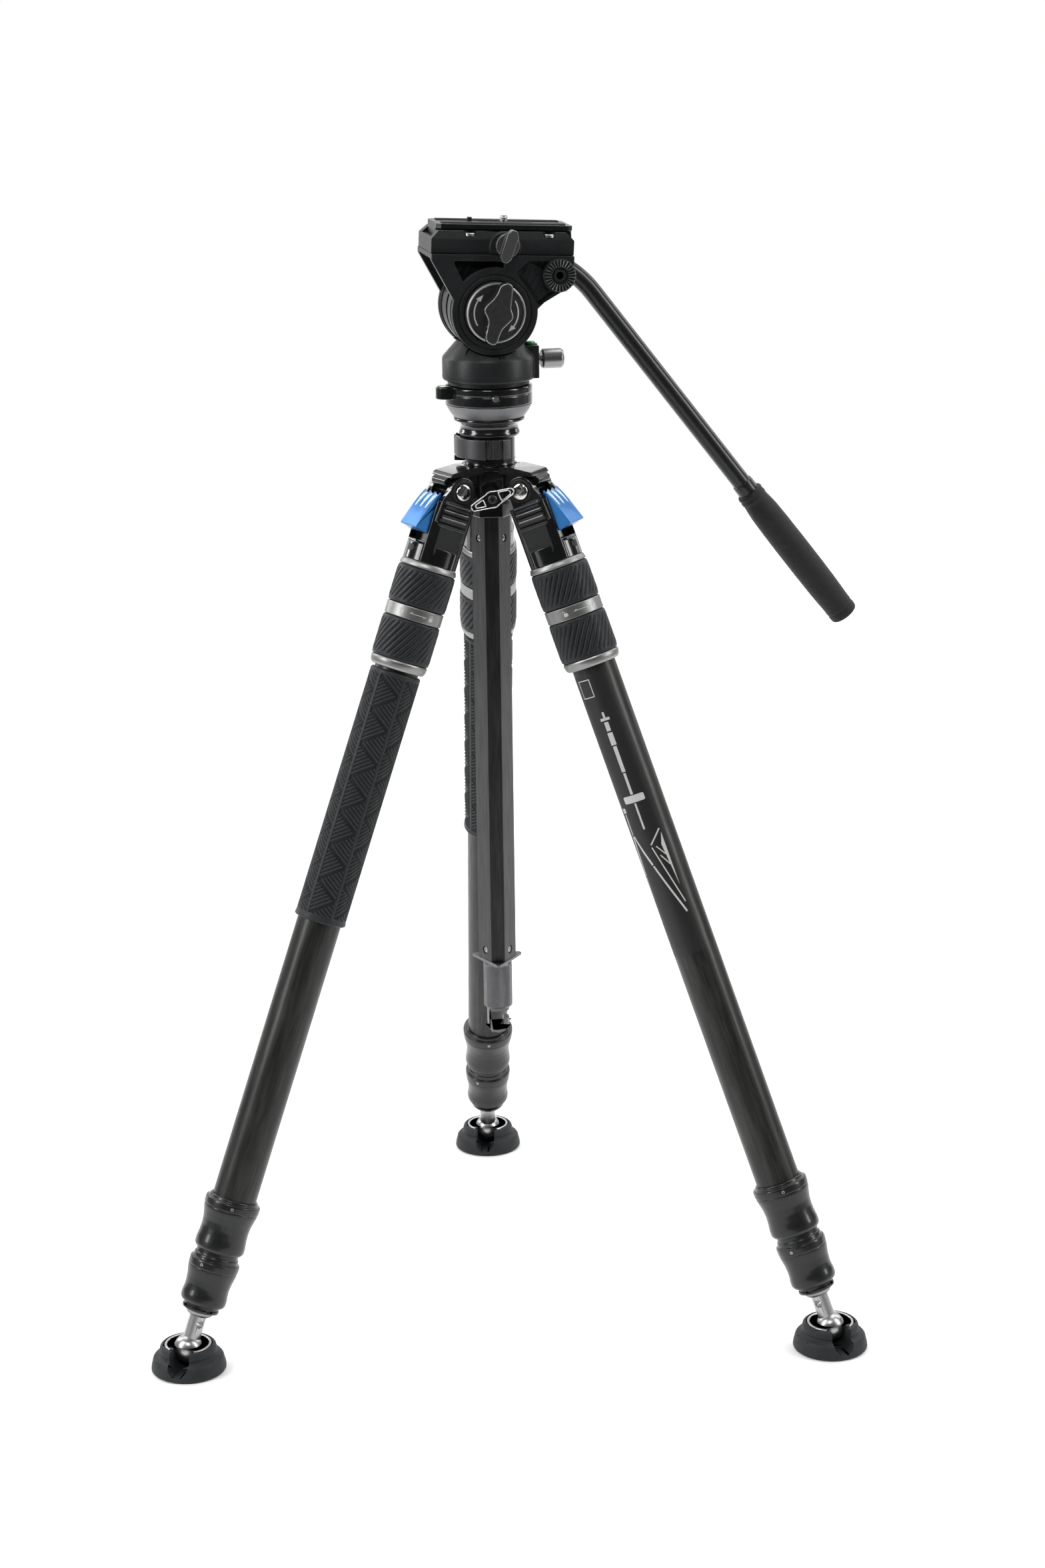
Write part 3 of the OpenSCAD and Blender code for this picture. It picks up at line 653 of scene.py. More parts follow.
RIBS = 30
LOCK_R = 23.55
LOCK_LEAN = 33
LOCK_GROOVE = 1.2
SLEEVE_R = 20.75
SLEEVE_SECTORS = 6
HERRINGBONE_PITCH = 28.5
TUBE_FIT_R = 18.03
LOCKS = {"upper_lock": (629.5, 660.4), "lower_lock": (585.0, 618.6)}
SLEEVE = (365.9, 575.2)
TUBE_R = {"upper": 18.0, "middle": 16.0, "lower": 14.0}
SLEEVE_TURN = {"left": 22.0, "rear": 10.0}
RING_SIGNS = {"left": (66, 246), "right": (-45, 135), "rear": (133, -47)}
LABEL_AZ = -105.0
LABEL_MIDDLE = 450.0


def twist_lock(side, kind):
    """Rubber ring with slanting raised ribs, rounded off at both ends."""
    low, high = LOCKS[kind]
    segments, steps = RIBS * 12, 44
    lean = (high - low) * tan(radians(LOCK_LEAN))
    rows = []
    for j in range(steps + 1):
        t = j / steps
        z = low + (high - low) * t
        end = min(t, 1 - t) * (high - low)
        base = LOCK_R - 1.5 * max(0.0, 1 - end / 1.8) ** 2
        lift = max(0.0, min(1.0, (end - 2.6) / 2.2))
        row = []
        for k in range(segments):
            angle = 2 * pi * k / segments
            phase = (angle * RIBS / (2 * pi) - RIBS * lean * t / (2 * pi * 23.6)) % 1.0
            crest = 0.5 - abs(phase - 0.5)
            groove = max(0.0, 1 - crest / 0.2) ** 1.2
            r = base - LOCK_GROOVE * groove * lift + 0.3 * lift * (1 - (2 * phase - 1) ** 2)
            row.append((r * cos(angle), r * sin(angle), z))
        rows.append(row)
    rows += [hoop(18.3, z, segments) for z in (high, low)]
    node = f"{kind}_{side}"
    piece = grid(f"ribbed_{node}", rows, LEG[side], looped=True)
    finish(piece, LOCK_RUBBER, node, (node,), angle=60, weighted=False)


def sleeve_relief(u, z, width, period):
    """Depth of the herringbone grooves at a place within one sector."""
    stripe = 1.4
    if u < stripe or u > width - stripe:
        edge = min(abs(u - stripe), abs(u - width + stripe))
        return -0.45 * exp(-((edge / 0.35) ** 2)) if edge < 1 else 0.0
    x = (u - stripe) / (width - 2 * stripe)
    phase = (z % period) / period
    tooth = 1 - abs(2 * phase - 1)
    slope = atan2(period / 2, width - 2 * stripe)
    way = -1 if x < tooth else 1
    across = z * cos(slope) + way * (u - stripe) * sin(slope)
    spacing = period / 2 * cos(slope) / 4.0
    near = abs((across / spacing) % 1.0 - 0.5) * spacing
    border = abs(x - tooth) * (width - 2 * stripe) * sin(slope)
    line = -1.0 * exp(-((near / 0.8) ** 2)) * min(1.0, border / 0.5)
    return line - 0.9 * exp(-((border / 0.6) ** 2))


def grip_sleeve(side):
    """Rubber sleeve with a herringbone of raised blocks between plain stripes; the groove faces are
    coloured near-black as painted shade.
    """
    low, high = SLEEVE
    segments = SLEEVE_SECTORS * 48
    width = 2 * pi * 20.8 / SLEEVE_SECTORS
    steps = int((high - low) / 0.55)
    rows = []
    for j in range(steps + 1):
        z = low + (high - low) * j / steps
        top, bottom = high - z, z - low
        base = SLEEVE_R
        base += 0.5 * exp(-(((bottom - 1.6) / 1.6) ** 2))
        base -= 0.9 * max(0.0, 1 - top / 1.8) ** 2 + 0.8 * max(0.0, 1 - bottom / 1.0) ** 2
        fade = max(0.0, min(1.0, (top - 3) / 1.5)) * max(0.0, min(1.0, (bottom - 5) / 1.5))
        row = []
        for k in range(segments):
            angle = 2 * pi * k / segments
            u = (angle * 20.8) % width
            r = base + fade * sleeve_relief(u, z, width, HERRINGBONE_PITCH)
            row.append((r * cos(angle), r * sin(angle), z))
        rows.append(row)
    rows += [hoop(TUBE_FIT_R, z, segments) for z in (high, low)]
    where = LEG[side] @ turn(SLEEVE_TURN[side], "Z")
    piece = grid(f"herringbone_sleeve_{side}", rows, where, looped=True)
    # faces sunk into the grooves take the near-black rubber: painted shade
    paint_light_faces(piece, SLEEVE_RUBBER, GROOVE_PAINTED_SHADE, lambda p: 19.25 < hypot(p.x, p.y) < 20.33)
    node = f"grip_sleeve_{side}"
    finish(piece, SLEEVE_RUBBER, f"leg_{side}", (node,), angle=60, weighted=False)


def padlock(u, closed):
    """Outlines of a plain padlock, 4 mm wide."""
    body = soften([(u - 1.7, -2.2), (u + 1.7, -2.2), (u + 1.7, 0.6), (u - 1.7, 0.6)], 0.5)
    lean = 0 if closed else -1.6
    bow = circle(1.25, 12, (u + lean, 1.2), 0, 180) + circle(0.75, 12, (u + lean, 1.2), 180, -180)
    sides = [u + lean + 1.0]
    if closed:
        sides.append(u - 1.0)
    legs = [[(c - 0.25, 0.5), (c + 0.25, 0.5), (c + 0.25, 1.25), (c - 0.25, 1.25)] for c in sides]
    return [body, bow, *legs]


def double_arrow(half):
    line = [(-half, -0.2), (half, -0.2), (half, 0.2), (-half, 0.2)]
    left = [(-half, -0.2), (-half + 2.6, 0.2), (-half + 2.6, 1.3)]
    right = [(half, 0.2), (half - 2.6, -0.2), (half - 2.6, -1.3)]
    return [line, left, right]


def trim_rings(side):
    """Three satin rings; the middle one is printed with plain lock signs."""
    node, body, where = f"trim_rings_{side}", f"leg_{side}", LEG[side]
    profiles = {
        "top": [
            (21.0, 660.6), (23.1, 660.6), (23.4, 661.3), (23.4, 661.9), (22.8, 664.2), (22.2, 665.2),
        ],
        "middle": [
            (22.6, 618.8), (23.2, 618.8), (23.4, 619.2), (23.4, 628.8), (23.2, 629.2), (22.6, 629.2),
        ],
        "bottom": [
            (20.6, 577.5), (21.4, 577.7), (22.5, 579.4), (23.1, 581.6), (23.3, 583.6), (22.8, 584.8),
        ],
    }
    for name, profile in profiles.items():
        outline = soften(profile, 0.35, 3, closed=False)
        piece = ring(f"{name}_ring_{side}", outline, TUBE_FIT_R, where, 128)
        finish(piece, SILVER, body, (node,), angle=50)
    signs = padlock(-14.0, False) + double_arrow(7.2) + padlock(11.6, True)
    for azimuth in RING_SIGNS[side]:
        piece = wrap_flat(f"lock_signs_{side}_{azimuth}", signs, 23.48, azimuth, 624.0, where)
        finish(piece, PRINT, body, (), weighted=False)


def tubes_and_collars(side):
    """Telescoping sections with their waisted end collars."""
    where = LEG[side]
    for kind, body, span, bore in (
        ("upper", f"leg_{side}", (108, 680), 16.35),
        ("middle", f"middle_{side}", (60, 540), 14.35),
        ("lower", f"lower_{side}", (38.6, 520), 12.4),
    ):
        r = TUBE_R[kind]
        profile = [(r, span[0]), (r, span[1])]
        piece = ring(f"{kind}_tube_{side}", profile, bore, where, 96)
        finish(piece, CARBON, body, (f"{kind}_section_{side}",), angle=50)
    upper = [
        (19.4, 85.1), (20.6, 86.9), (20.6, 91.5), (19.9, 97), (19.6, 103), (20.1, 109), (21.4, 115),
        (22.3, 118.3), (22.4, 120.4), (22.1, 120.7), (22.8, 121.2), (22.8, 126.4), (21.9, 127.3),
        (20.1, 127.4), (20, 129.2), (19.2, 130),
    ]
    lower = [
        (17.6, 39.6), (18.9, 41.6), (18.9, 46), (18.3, 50), (18.2, 54), (18.8, 60), (20, 66), (20.4, 69),
        (20.1, 69.4), (20.6, 70), (20.6, 75.6), (19.8, 76.5), (18.5, 76.6), (18.4, 80), (17.4, 80.6),
        (17.3, 84.4),
    ]
    piece = ring(f"upper_collar_{side}", soften(upper, 1.2, 3, closed=False), 16.05, where, 128)
    finish(piece, SATIN_BLACK, f"leg_{side}", (f"upper_section_{side}",), angle=45)
    piece = ring(f"lower_collar_{side}", soften(lower, 1.2, 3, closed=False), 14.05, where, 128)
    finish(piece, SATIN_BLACK, f"middle_{side}", (f"middle_section_{side}",), angle=45)
    for a in (60, 180, 300):
        set_screw(f"upper_set_screw_{side}_{a}", where, a, 22.95, 123.7, f"leg_{side}")
    for a in (30, 150, 270):
        set_screw(f"lower_set_screw_{side}_{a}", where, a, 20.75, 72.9, f"middle_{side}")
    flange = [
        (11, 33.6), (15.0, 33.6), (15.2, 33.9), (15.2, 35.7), (14.9, 36), (13.9, 36.1), (13.9, 38.8),
    ]
    piece = ring(f"slotted_flange_{side}", flange, 9.6, where, 96)
    notches = []
    for k in range(4):
        notches.append(box(f"notch_{k}", 13.2, 17, -2.4, 2.4, 34.9, 37, where @ turn(90 * k, "Z")))
    boolean(piece, notches)
    finish(piece, SATIN_BLACK, f"lower_{side}", (f"lower_section_{side}",), 0.15)


def box(name, x0, x1, y0, y1, z0, z1, where):
    bm = bmesh.new()
    bmesh.ops.create_cube(bm, size=1)
    bmesh.ops.scale(bm, vec=(x1 - x0, y1 - y0, z1 - z0), verts=bm.verts[:])
    bmesh.ops.translate(bm, vec=((x0 + x1) / 2, (y0 + y1) / 2, (z0 + z1) / 2), verts=bm.verts[:])
    return make(name, bm, where)


def socket_screw(name, radius, length, socket, where, material, body):
    """Cap screw along +Z with its head's face at z = 0 and a hexagon socket."""
    edge = radius * 0.12
    profile = [(0, -length), (radius, -length), (radius, -edge), (radius - edge, 0), (0, 0)]
    head = lathe(name, profile, where, 48)
    hexagon = plate(name + "_hex", [hex_socket(socket)], -length * 0.5, 1.0, where, 0.0, "XY")
    boolean(head, [hexagon])
    return finish(head, material, body, (), angle=40)


def set_screw(name, where, azimuth, radius, height, body):
    spot = outward(where, azimuth, radius, height)
    socket_screw(name, 1.25, 1.6, 0.65, spot, STEEL, body)


def casting(side):
    """Leg's top casting: a matt panel with ribs on each flat, a blank label oval outside."""
    where, body = LEG[side], f"leg_{side}"
    refine(f"casting_{side}", f"leg_casting_{side}", where, GLOSS_BLACK, body, 0.7)
    turns = [radians(a) for a in range(180, 361, 12)]
    outline = [(11.2 * cos(a) + 0.8, 678.5 + 9.5 * sin(a)) for a in turns] + [(12.0, 696), (-10.4, 696)]
    for s in (-1, 1):
        face = s * 18.62
        panel = plate(f"side_panel_{side}_{s + 1}", [outline], face - 0.14, face + 0.14, where, 0.1)
        finish(panel, SATIN_BLACK, body, ())
        for k in range(6):
            z = 697.8 + 3.75 * k
            half = 12.7 - 0.35 * k
            ends = ((1.2 - half, 16.9), (1.9 - half, 17.9), (0.5 + half, 17.9), (1.2 + half, 16.9))
            path = [(x, s * y, z) for x, y in ends]
            rib = tube(f"rib_{side}_{s + 1}_{k}", path, [0.9, 1.35, 1.35, 0.9], where, 16)
            finish(rib, MATT_BLACK, body, (), angle=50)
        rim = [(7.4, 0), (9.9, 0), (9.7, 0.35), (9.1, 0.6), (8.0, 0.6), (7.4, 0.2)]
        spot = where @ shift(0, s * 17.0, HINGE_T) @ turn(-90 * s, "X")
        boss = ring(f"hinge_boss_{side}_{s + 1}", soften(rim, 0.1, 2, closed=False), 7.1, spot, 64)
        finish(boss, MATT_BLACK, body, ())
    oval = [(4.6 * cos(radians(a)), 2.9 * sin(radians(a))) for a in range(0, 360, 12)]
    label = wrap_flat(f"label_oval_{side}", [oval], 21.55, 0, 674.6, where, 0.8)
    finish(label, MATT_BLACK, body, (), weighted=False)


def angle_tab(side):
    """Anodised tab with three long tapering scoops in its curved back, their faces coloured pale
    blue-white as a painted highlight.
    """
    where, body = LEG[side], f"tab_{side}"
    scoops = []
    curve = [(13.5, 724.5), (19.6, 719.5), (23.4, 713.2), (26.3, 706.4), (29.0, 699.4), (31.0, 694.6)]
    for k, y in enumerate((-7.4, 0.0, 7.4)):
        path = [(x + 1.1, y, z) for x, z in curve]
        scoops.append(tube(f"scoop_{k}", path, [3.0, 3.0, 2.9, 2.5, 1.7, 0.4], where, 20))
    node = f"angle_tab_{side}"
    # the scoop faces get the pale blue-white material: a painted highlight
    refine(f"tab_{side}", node, where, BLUE, body, 0.55, scoops, cut_highlight=BLUE_SCOOP_HIGHLIGHT)


def foot(side):
    """Steel stem with a ball end, and the rubber foot with its wire clip."""
    where = LEG[side]
    refine(f"stem_{side}", f"foot_stem_{side}", where, STEEL, f"lower_{side}", 0.3)
    profile = [(7.1, 28.4), (8.6, 28.6), (10.6, 30.2), (11.2, 32.0), (11.2, 33.5)]
    cup = ring(f"stem_cup_{side}", soften(profile, 0.6, 3, closed=False), 7.05, where, 64)
    finish(cup, SILVER, f"lower_{side}", (), angle=45)
    ball = LEG[side].translation
    inward = COLUMN.translation - ball
    upright = Matrix.Translation(ball) @ Matrix.Rotation(atan2(-inward.y, -inward.x), 4, "Z")
    refine(f"pad_{side}", f"foot_pad_{side}", upright, FOOT_RUBBER, f"foot_{side}", 0.6)
    slot_turn = {"left": 253 - 210, "right": 287 - 330, "rear": 262 - 90}[side]
    gap = 34.0
    path = [
        (18.0 * cos(radians(a)), 18.0 * sin(radians(a)), 3.6)
        for a in [slot_turn + gap + (360 - 2 * gap) * k / 40 for k in range(41)]
    ]
    clip = tube(f"clip_{side}", path, 1.2, upright, 12)
    finish(clip, STEEL, f"foot_{side}", (), angle=50)


def leg_label():
    """Plain line drawings on the right leg's label: a telescopic pole and a small tripod."""
    side, where, middle = "right", LEG["right"], LABEL_MIDDLE
    outline = soften([(-22, -118), (22, -118), (22, 122), (-22, 122)], 2)
    base = wrap_flat("leg_label", [outline], 18.06, LABEL_AZ, middle, where)
    finish(base, LABEL, f"leg_{side}", (), weighted=False)

    def bar(u0, z0, u1, z1, wide):
        start, end = Vector((u0, z0 - middle)), Vector((u1, z1 - middle))
        across = (end - start).normalized().orthogonal() * wide / 2
        return [tuple(start - across), tuple(end - across), tuple(end + across), tuple(start + across)]

    marks = [
        bar(3.6, 534, 11.6, 534, 2.2),
        bar(7.6, 540, 7.6, 534, 1.8),
        bar(7.6, 531.5, 7.6, 524, 3.6),
        bar(7.6, 522.6, 7.6, 512, 4.4),
        bar(7.6, 511, 7.6, 489, 3.2),
        bar(7.6, 488, 7.6, 469.8, 2.2),
        bar(7.6, 462.2, 7.6, 440, 1.6),
        soften([(-1.5, 13.0), (16.9, 13.0), (16.9, 19.0), (-1.5, 19.0)], 1.5),
        bar(-6.3, 460, -6.3, 456, 4.2),
        bar(-6.3, 455, -6.6, 437, 1.3),
        bar(-6.9, 436, -9.4, 402, 1.7),
        bar(-9.5, 401, -12.0, 362, 1.1),
        bar(-5.4, 436, 4.0, 410, 1.7),
        bar(4.4, 409, 18.2, 366, 1.5),
        bar(19.2, 437, 8.4, 426, 1.2),
        bar(8.4, 424, 19.6, 374, 1.0),
        bar(12.0, 424, 18.4, 414, 0.9),
        bar(13.0, 416, 18.6, 406, 0.9),
        [(19.8, -16.0), (19.8, -62.0), (16.6, -26.0)],
    ]
    marks += [bar(-6, z, 6, z, 0.7) for z in (554, 568.3)]
    marks += [bar(u, 554.4, u, 568, 0.7) for u in (-5.65, 5.65)]
    lines = wrap_flat("leg_label_lines", marks, 18.12, LABEL_AZ, middle, where)
    finish(lines, PRINT, f"leg_{side}", (), weighted=False)


for side in SIDES:
    casting(side)
    angle_tab(side)
    tubes_and_collars(side)
    trim_rings(side)
    for kind in LOCKS:
        twist_lock(side, kind)
    foot(side)
grip_sleeve("left")
grip_sleeve("rear")
leg_label()


# ---------------------------------------------------------------- spider and column

HINGE_R = (joint_point("leg_left_splay") - COLUMN.translation).xy.length / MM
HINGE_Z = joint_point("leg_left_splay").z / MM
AZIMUTH = {"left": 210, "right": 330, "rear": 90}


def hinge_bolt(side, s):
    """Chromed cap bolt on the outer end of a leg hinge, with a ring of radial dashes."""
    where = COLUMN @ turn(AZIMUTH[side], "Z") @ shift(HINGE_R, s * 17.3, HINGE_Z) @ turn(-90 * s, "X")
    profile = [(0, 0), (6.9, 0), (7.0, 0.7, 0.3), (6.7, 1.5, 0.6), (5.6, 2.3, 0.8), (3.4, 2.55, 0.2)]
    head = lathe(f"bolt_{side}_{s + 1}", soften(profile, 0.2, 3, closed=False) + [(0, 2.55)], where, 64)
    tools = [plate("socket", [hex_socket(2.15)], 0.8, 4, where, 0.0, "XY")]
    for k in range(16):
        spot = where @ turn(22.5 * k, "Z")
        tools.append(box("dash", 3.7, 4.9, -0.28, 0.28, 2.2, 3, spot))
    boolean(head, tools)
    finish(head, CHROME, "spider", (), angle=38)


for side in SIDES:
    for s in (-1, 1):
        hinge_bolt(side, s)
shanks = []
for side in SIDES:
    where = COLUMN @ turn(AZIMUTH[side], "Z") @ shift(HINGE_R, 0, HINGE_Z) @ turn(90, "X")
    shanks.append(lathe(f"shank_{side}", [(0, -18.2), (4, -18.2), (4, 18.2), (0, 18.2)], where, 32))
for shank, nodes in zip(shanks, (("hinge_bolts",), (), ())):
    finish(shank, STEEL, "spider", nodes)
refine("spider_body", "spider", COLUMN, GLOSS_BLACK, "spider", 0.75)


def wing_knob():
    """Skeleton bar with two windows, its long edges polished bright."""
    where = COLUMN @ shift(0, 0, joint_point("column_lock_turn").z / MM) @ turn(-23, "Y")
    right = circle(3.2, 9, (15.2, 0), -75, 150)
    left = circle(3.2, 9, (-15.2, 0), 105, 150)
    top = circle(6.9, 7, (0, 0), 60, 60)
    bottom = circle(6.9, 7, (0, 0), 240, 60)
    loop = right + top + left + bottom
    windows = []
    for s in (-1, 1):
        window = [(s * 6.6, 3.4), (s * 6.6, -3.4), (s * 14.8, -1.5), (s * 14.8, 1.5)]
        windows.append(soften(window, 1.0))
    bar = plate("wing_bar", [loop] + windows, -42.5, -37.5, where, 0.75, edge_steps=1)
    finish(bar, GLOSS_BLACK, "wing_knob", ("wing_knob",), angle=25)
    rims = [("outer", loop)] + [(f"window_{k}", w) for k, w in enumerate(windows)]
    for name, line in rims:
        inset = 0.35 if name == "outer" else -0.35
        path = edge_path(line, inset, -42.18)
        rim = tube(f"wing_{name}_rim", path, 0.5, where, 8, closed=True)
        finish(rim, BRIGHT, "wing_knob", (), angle=60, weighted=False)
    axis = where @ turn(90, "X")
    profile = [(0, 19.4), (6.4, 19.4), (6.4, 34.4), (5.6, 35.8), (5.6, 38.2), (0, 38.2)]
    hub = lathe("wing_hub", soften(profile, 0.3, 3, closed=False), axis, 64)
    finish(hub, SATIN_BLACK, "wing_knob", ())
    stem = lathe("wing_stem", [(0, 15.6), (3, 15.6), (3, 30), (0, 30)], axis, 32)
    finish(stem, STEEL, "wing_knob", ())
    spot = where @ shift(0, -42.9, 0) @ turn(90, "X")
    socket_screw("wing_screw", 3.6, 2.2, 1.6, spot, DARK_GREY, "wing_knob")


wing_knob()


def cross_screw(name, where, radius, body):
    """Round-headed screw with a cross recess, its face at z = 0 looking along +Z."""
    crown = [(radius, -0.5), (radius * 0.8, -0.08), (radius * 0.4, 0), (0, 0)]
    profile = [(0, -1.2), (radius, -1.2)] + crown
    head = lathe(name, profile, where, 40)
    arms = [
        box("arm_1", -radius * 0.6, radius * 0.6, -0.3, 0.3, -0.9, 1, where),
        box("arm_2", -0.3, 0.3, -radius * 0.6, radius * 0.6, -0.9, 1, where),
    ]
    boolean(head, arms)
    finish(head, STEEL, body, (), angle=40)


def column():
    """Three-cornered carbon column with sunk cross-head screws near both ends."""
    pockets = []
    spots = []
    for a in (210, 330, 90):
        for z in (652, 302):
            spot = outward(COLUMN, a, 12.2, z)
            spots.append((f"{a}_{z}", spot))
            pockets.append(lathe("pocket", [(0, -1.5), (3.1, -1.5), (3.3, 0.5), (0, 0.5)], spot, 40))
    refine("column_body", "column_tube", COLUMN, COLUMN_CARBON, "column", 0.5, pockets)
    for name, spot in spots:
        cross_screw(f"column_screw_{name}", spot @ shift(0, 0, -0.35), 2.5, "column")
    refine("column_foot_plate", "column_plate", COLUMN, MID_GREY, "column", 0.5)
    refine("hook_body", "end_hook", COLUMN, MID_GREY, "column", 0.9)
    refine("neck_body", "column_neck", COLUMN, GLOSS_BLACK, "column", 0.5)
    neck_lines = [(20.45, 716.2), (20.75, 716.4), (20.75, 717.2), (20.45, 717.4)]
    line = ring("neck_line", neck_lines, 19.5, COLUMN, 96)
    finish(line, GLOSS_BLACK, "column", ())


column()


def end_knob():
    """Diamond-knurled knob with plain chamfered ends."""
    around, rows_high = 44, 26
    segments, steps = around * 6, rows_high * 6
    shape = []
    for r, z in ((5.05, 250.8), (10.9, 250.8), (11.9, 251.8)):
        shape.append(hoop(r, z, segments))
    for j in range(steps + 1):
        t = j / steps
        z = 252.2 + 36.4 * t
        fade = min(1.0, min(t, 1 - t) * 40)
        row = []
        for k in range(segments):
            a, b = k / 6, j / 6
            one = abs((a + b) % 1.0 - 0.5) * 2
            two = abs((a - b) % 1.0 - 0.5) * 2
            r = 11.75 + 0.42 * fade * (min(one, two) - 0.35)
            angle = 2 * pi * k / segments
            row.append((r * cos(angle), r * sin(angle), z))
        shape.append(row)
    for r, z in ((11.9, 289.0), (11.3, 290.4), (5.05, 290.6)):
        shape.append(hoop(r, z, segments))
    piece = grid("knurled_end_knob", shape, COLUMN, looped=True)
    finish(piece, MID_GREY, "end_knob", ("end_knob",), angle=30, weighted=False)


end_knob()
grooves = []
profile = [(0, 717), (1.45, 717), (1.45, 734), (0.7, 734.8), (0, 735)]
for k in range(4):
    spot = COLUMN @ turn(264 + 8 * k, "Z") @ shift(27.9, 0, 0)
    grooves.append(lathe("groove", profile, spot, 24))
refine("lever_body", "flip_lever", COLUMN, DARK_GREY, "flip_lever", 0.7, cuts=grooves)


# ---------------------------------------------------------------- levelling base and pan base


def threaded(name, where, radius, low, high, pitch, material, body, nodes=()):
    """Round bar along +Z with a screw thread drawn as close rings."""
    profile = [(0, low), (radius - pitch * 0.5, low)]
    z = low + pitch * 0.4
    while z < high - pitch:
        profile += [(radius - pitch * 0.5, z), (radius, z + pitch * 0.45), (radius, z + pitch * 0.6)]
        z += pitch
    profile += [(radius - pitch * 0.5, z), (radius - pitch * 0.5, high), (0, high)]
    bar = lathe(name, profile, where, 40)
    return finish(bar, material, body, nodes, angle=25)


refine("bowl_collar_body", "bowl_collar", COLUMN, GLOSS_BLACK, "column", 0.4)
refine("ball_body", "half_ball", COLUMN, MID_GREY, "level", 0.4)
refine("levelling_body", "levelling_base", HEAD, GLOSS_BLACK, "level", 0.5)
refine("base_vial", "base_bubble", HEAD, LIME, "level", 0.35)
bezel_spot = HEAD @ turn(192, "Z") @ shift(38.4, 0, 776.3)
profile = [(4.9, -0.4), (5.9, -0.4), (5.9, 0.3), (5.4, 0.7), (4.9, 0.7)]
bezel = ring("base_vial_bezel", profile, 4.3, bezel_spot, 64)
finish(bezel, SATIN_BLACK, "level", ())
front_screw = outward(HEAD, 268, 34.5, 768.6)
socket_screw("base_front_screw", 2.7, 1.2, 1.2, front_screw, STEEL, "level")

refine("pan_body", "pan_base", HEAD, HEAD_BLACK, "pan", 0.6)
profile = [(36.4, 783.2), (36.95, 783.3), (36.95, 784.1), (36.4, 784.2)]
pan_line = ring("pan_line", profile, 36.0, HEAD, 128)
finish(pan_line, HEAD_BLACK, "pan", ())
refine("pan_vial", "pan_bubble", HEAD, GREEN, "pan", 0.5)
vial_spot = HEAD @ shift(33.4, -1, 806.4)
profile = [(5.0, -0.6), (6.3, -0.6), (6.3, 0.3), (5.8, 0.7), (5.0, 0.7)]
vial_bezel = ring("pan_vial_bezel", profile, 4.75, vial_spot, 64)
finish(vial_bezel, HEAD_BLACK, "pan", ())

pan_axis = HEAD @ shift(0, 0, 794.3) @ turn(90, "Y")
profile = [
    (0, 43), (6.6, 43), (7.9, 44.3), (7.9, 58.6), (7.5, 59.4), (6.4, 60.6), (5.2, 60.8), (0, 60.8),
]
knob = lathe("pan_knob_body", profile, pan_axis, 96)
boolean(knob, [lathe("dish", [(0, 59.9), (4.4, 59.9), (4.8, 62), (0, 62)], pan_axis, 64)])
finish(knob, KNOB_SILVER, "pan_knob", ("pan_knob",), angle=25)
threaded("pan_knob_stem", pan_axis, 2.6, 30.6, 43.4, 0.8, STEEL, "pan_knob")
profile = [(3.2, 39.5), (4.6, 39.5), (4.8, 39.8), (4.8, 41.2), (4.5, 41.5), (3.2, 41.5)]
washer = ring("pan_knob_washer", profile, 2.62, pan_axis, 48)
finish(washer, STEEL, "pan_knob", ())

refine("drum_body", "tilt_core", HEAD, HEAD_BLACK, "pan", 0.5)

# ---------------------------------------------------------------- tilt drag knob

TILT = HEAD @ shift(0, 0, TILT_Z)
S_GRIP = [
    (5.9, 23.8), (2.1, 21.9), (-0.7, 16.2), (-4.3, 11.8), (-9.3, 7.4), (-11.2, 3.0), (-9.3, -1.5),
    (-8.1, -5.9), (-9.1, -11.0), (-10.3, -16.0), (-9.9, -20.4), (-6.8, -23.4), (-3.0, -23.9),
    (-0.5, -21.3), (0.8, -17.3), (3.3, -12.2), (7.8, -8.0), (11.6, -4.0), (11.6, -0.2), (10.5, 4.2),
    (11.2, 10.6), (11.9, 16.9), (11.9, 21.3), (9.0, 23.8),
]

DIMPLES = [
    (-2.2, 17.6), (-6.2, 12.9), (-10.6, 7.2), (-9.1, -9.0), (-10.1, -13.2), (-10.4, -17.4),
    (-9.2, -21.2),
]


def bent_arrow(radius, start, end, wide=1.0, head=4.4):
    """Arc from one angle to another in the XZ plane, with a plain arrow head at its end."""
    way = 1 if end > start else -1
    count = 16
    outer, inner = [], []
    stop = end - way * degrees(2.6 * head / 2 / radius)
    for k in range(count + 1):
        a = radians(start + (stop - start) * k / count)
        outer.append(((radius + wide / 2) * cos(a), (radius + wide / 2) * sin(a)))
        inner.append(((radius - wide / 2) * cos(a), (radius - wide / 2) * sin(a)))
    a = radians(stop)
    tip = radians(end)
    barbs = [
        ((radius + head / 2) * cos(a), (radius + head / 2) * sin(a)),
        (radius * cos(tip), radius * sin(tip)),
        ((radius - head / 2) * cos(a), (radius - head / 2) * sin(a)),
    ]
    return outer + barbs + inner[::-1]


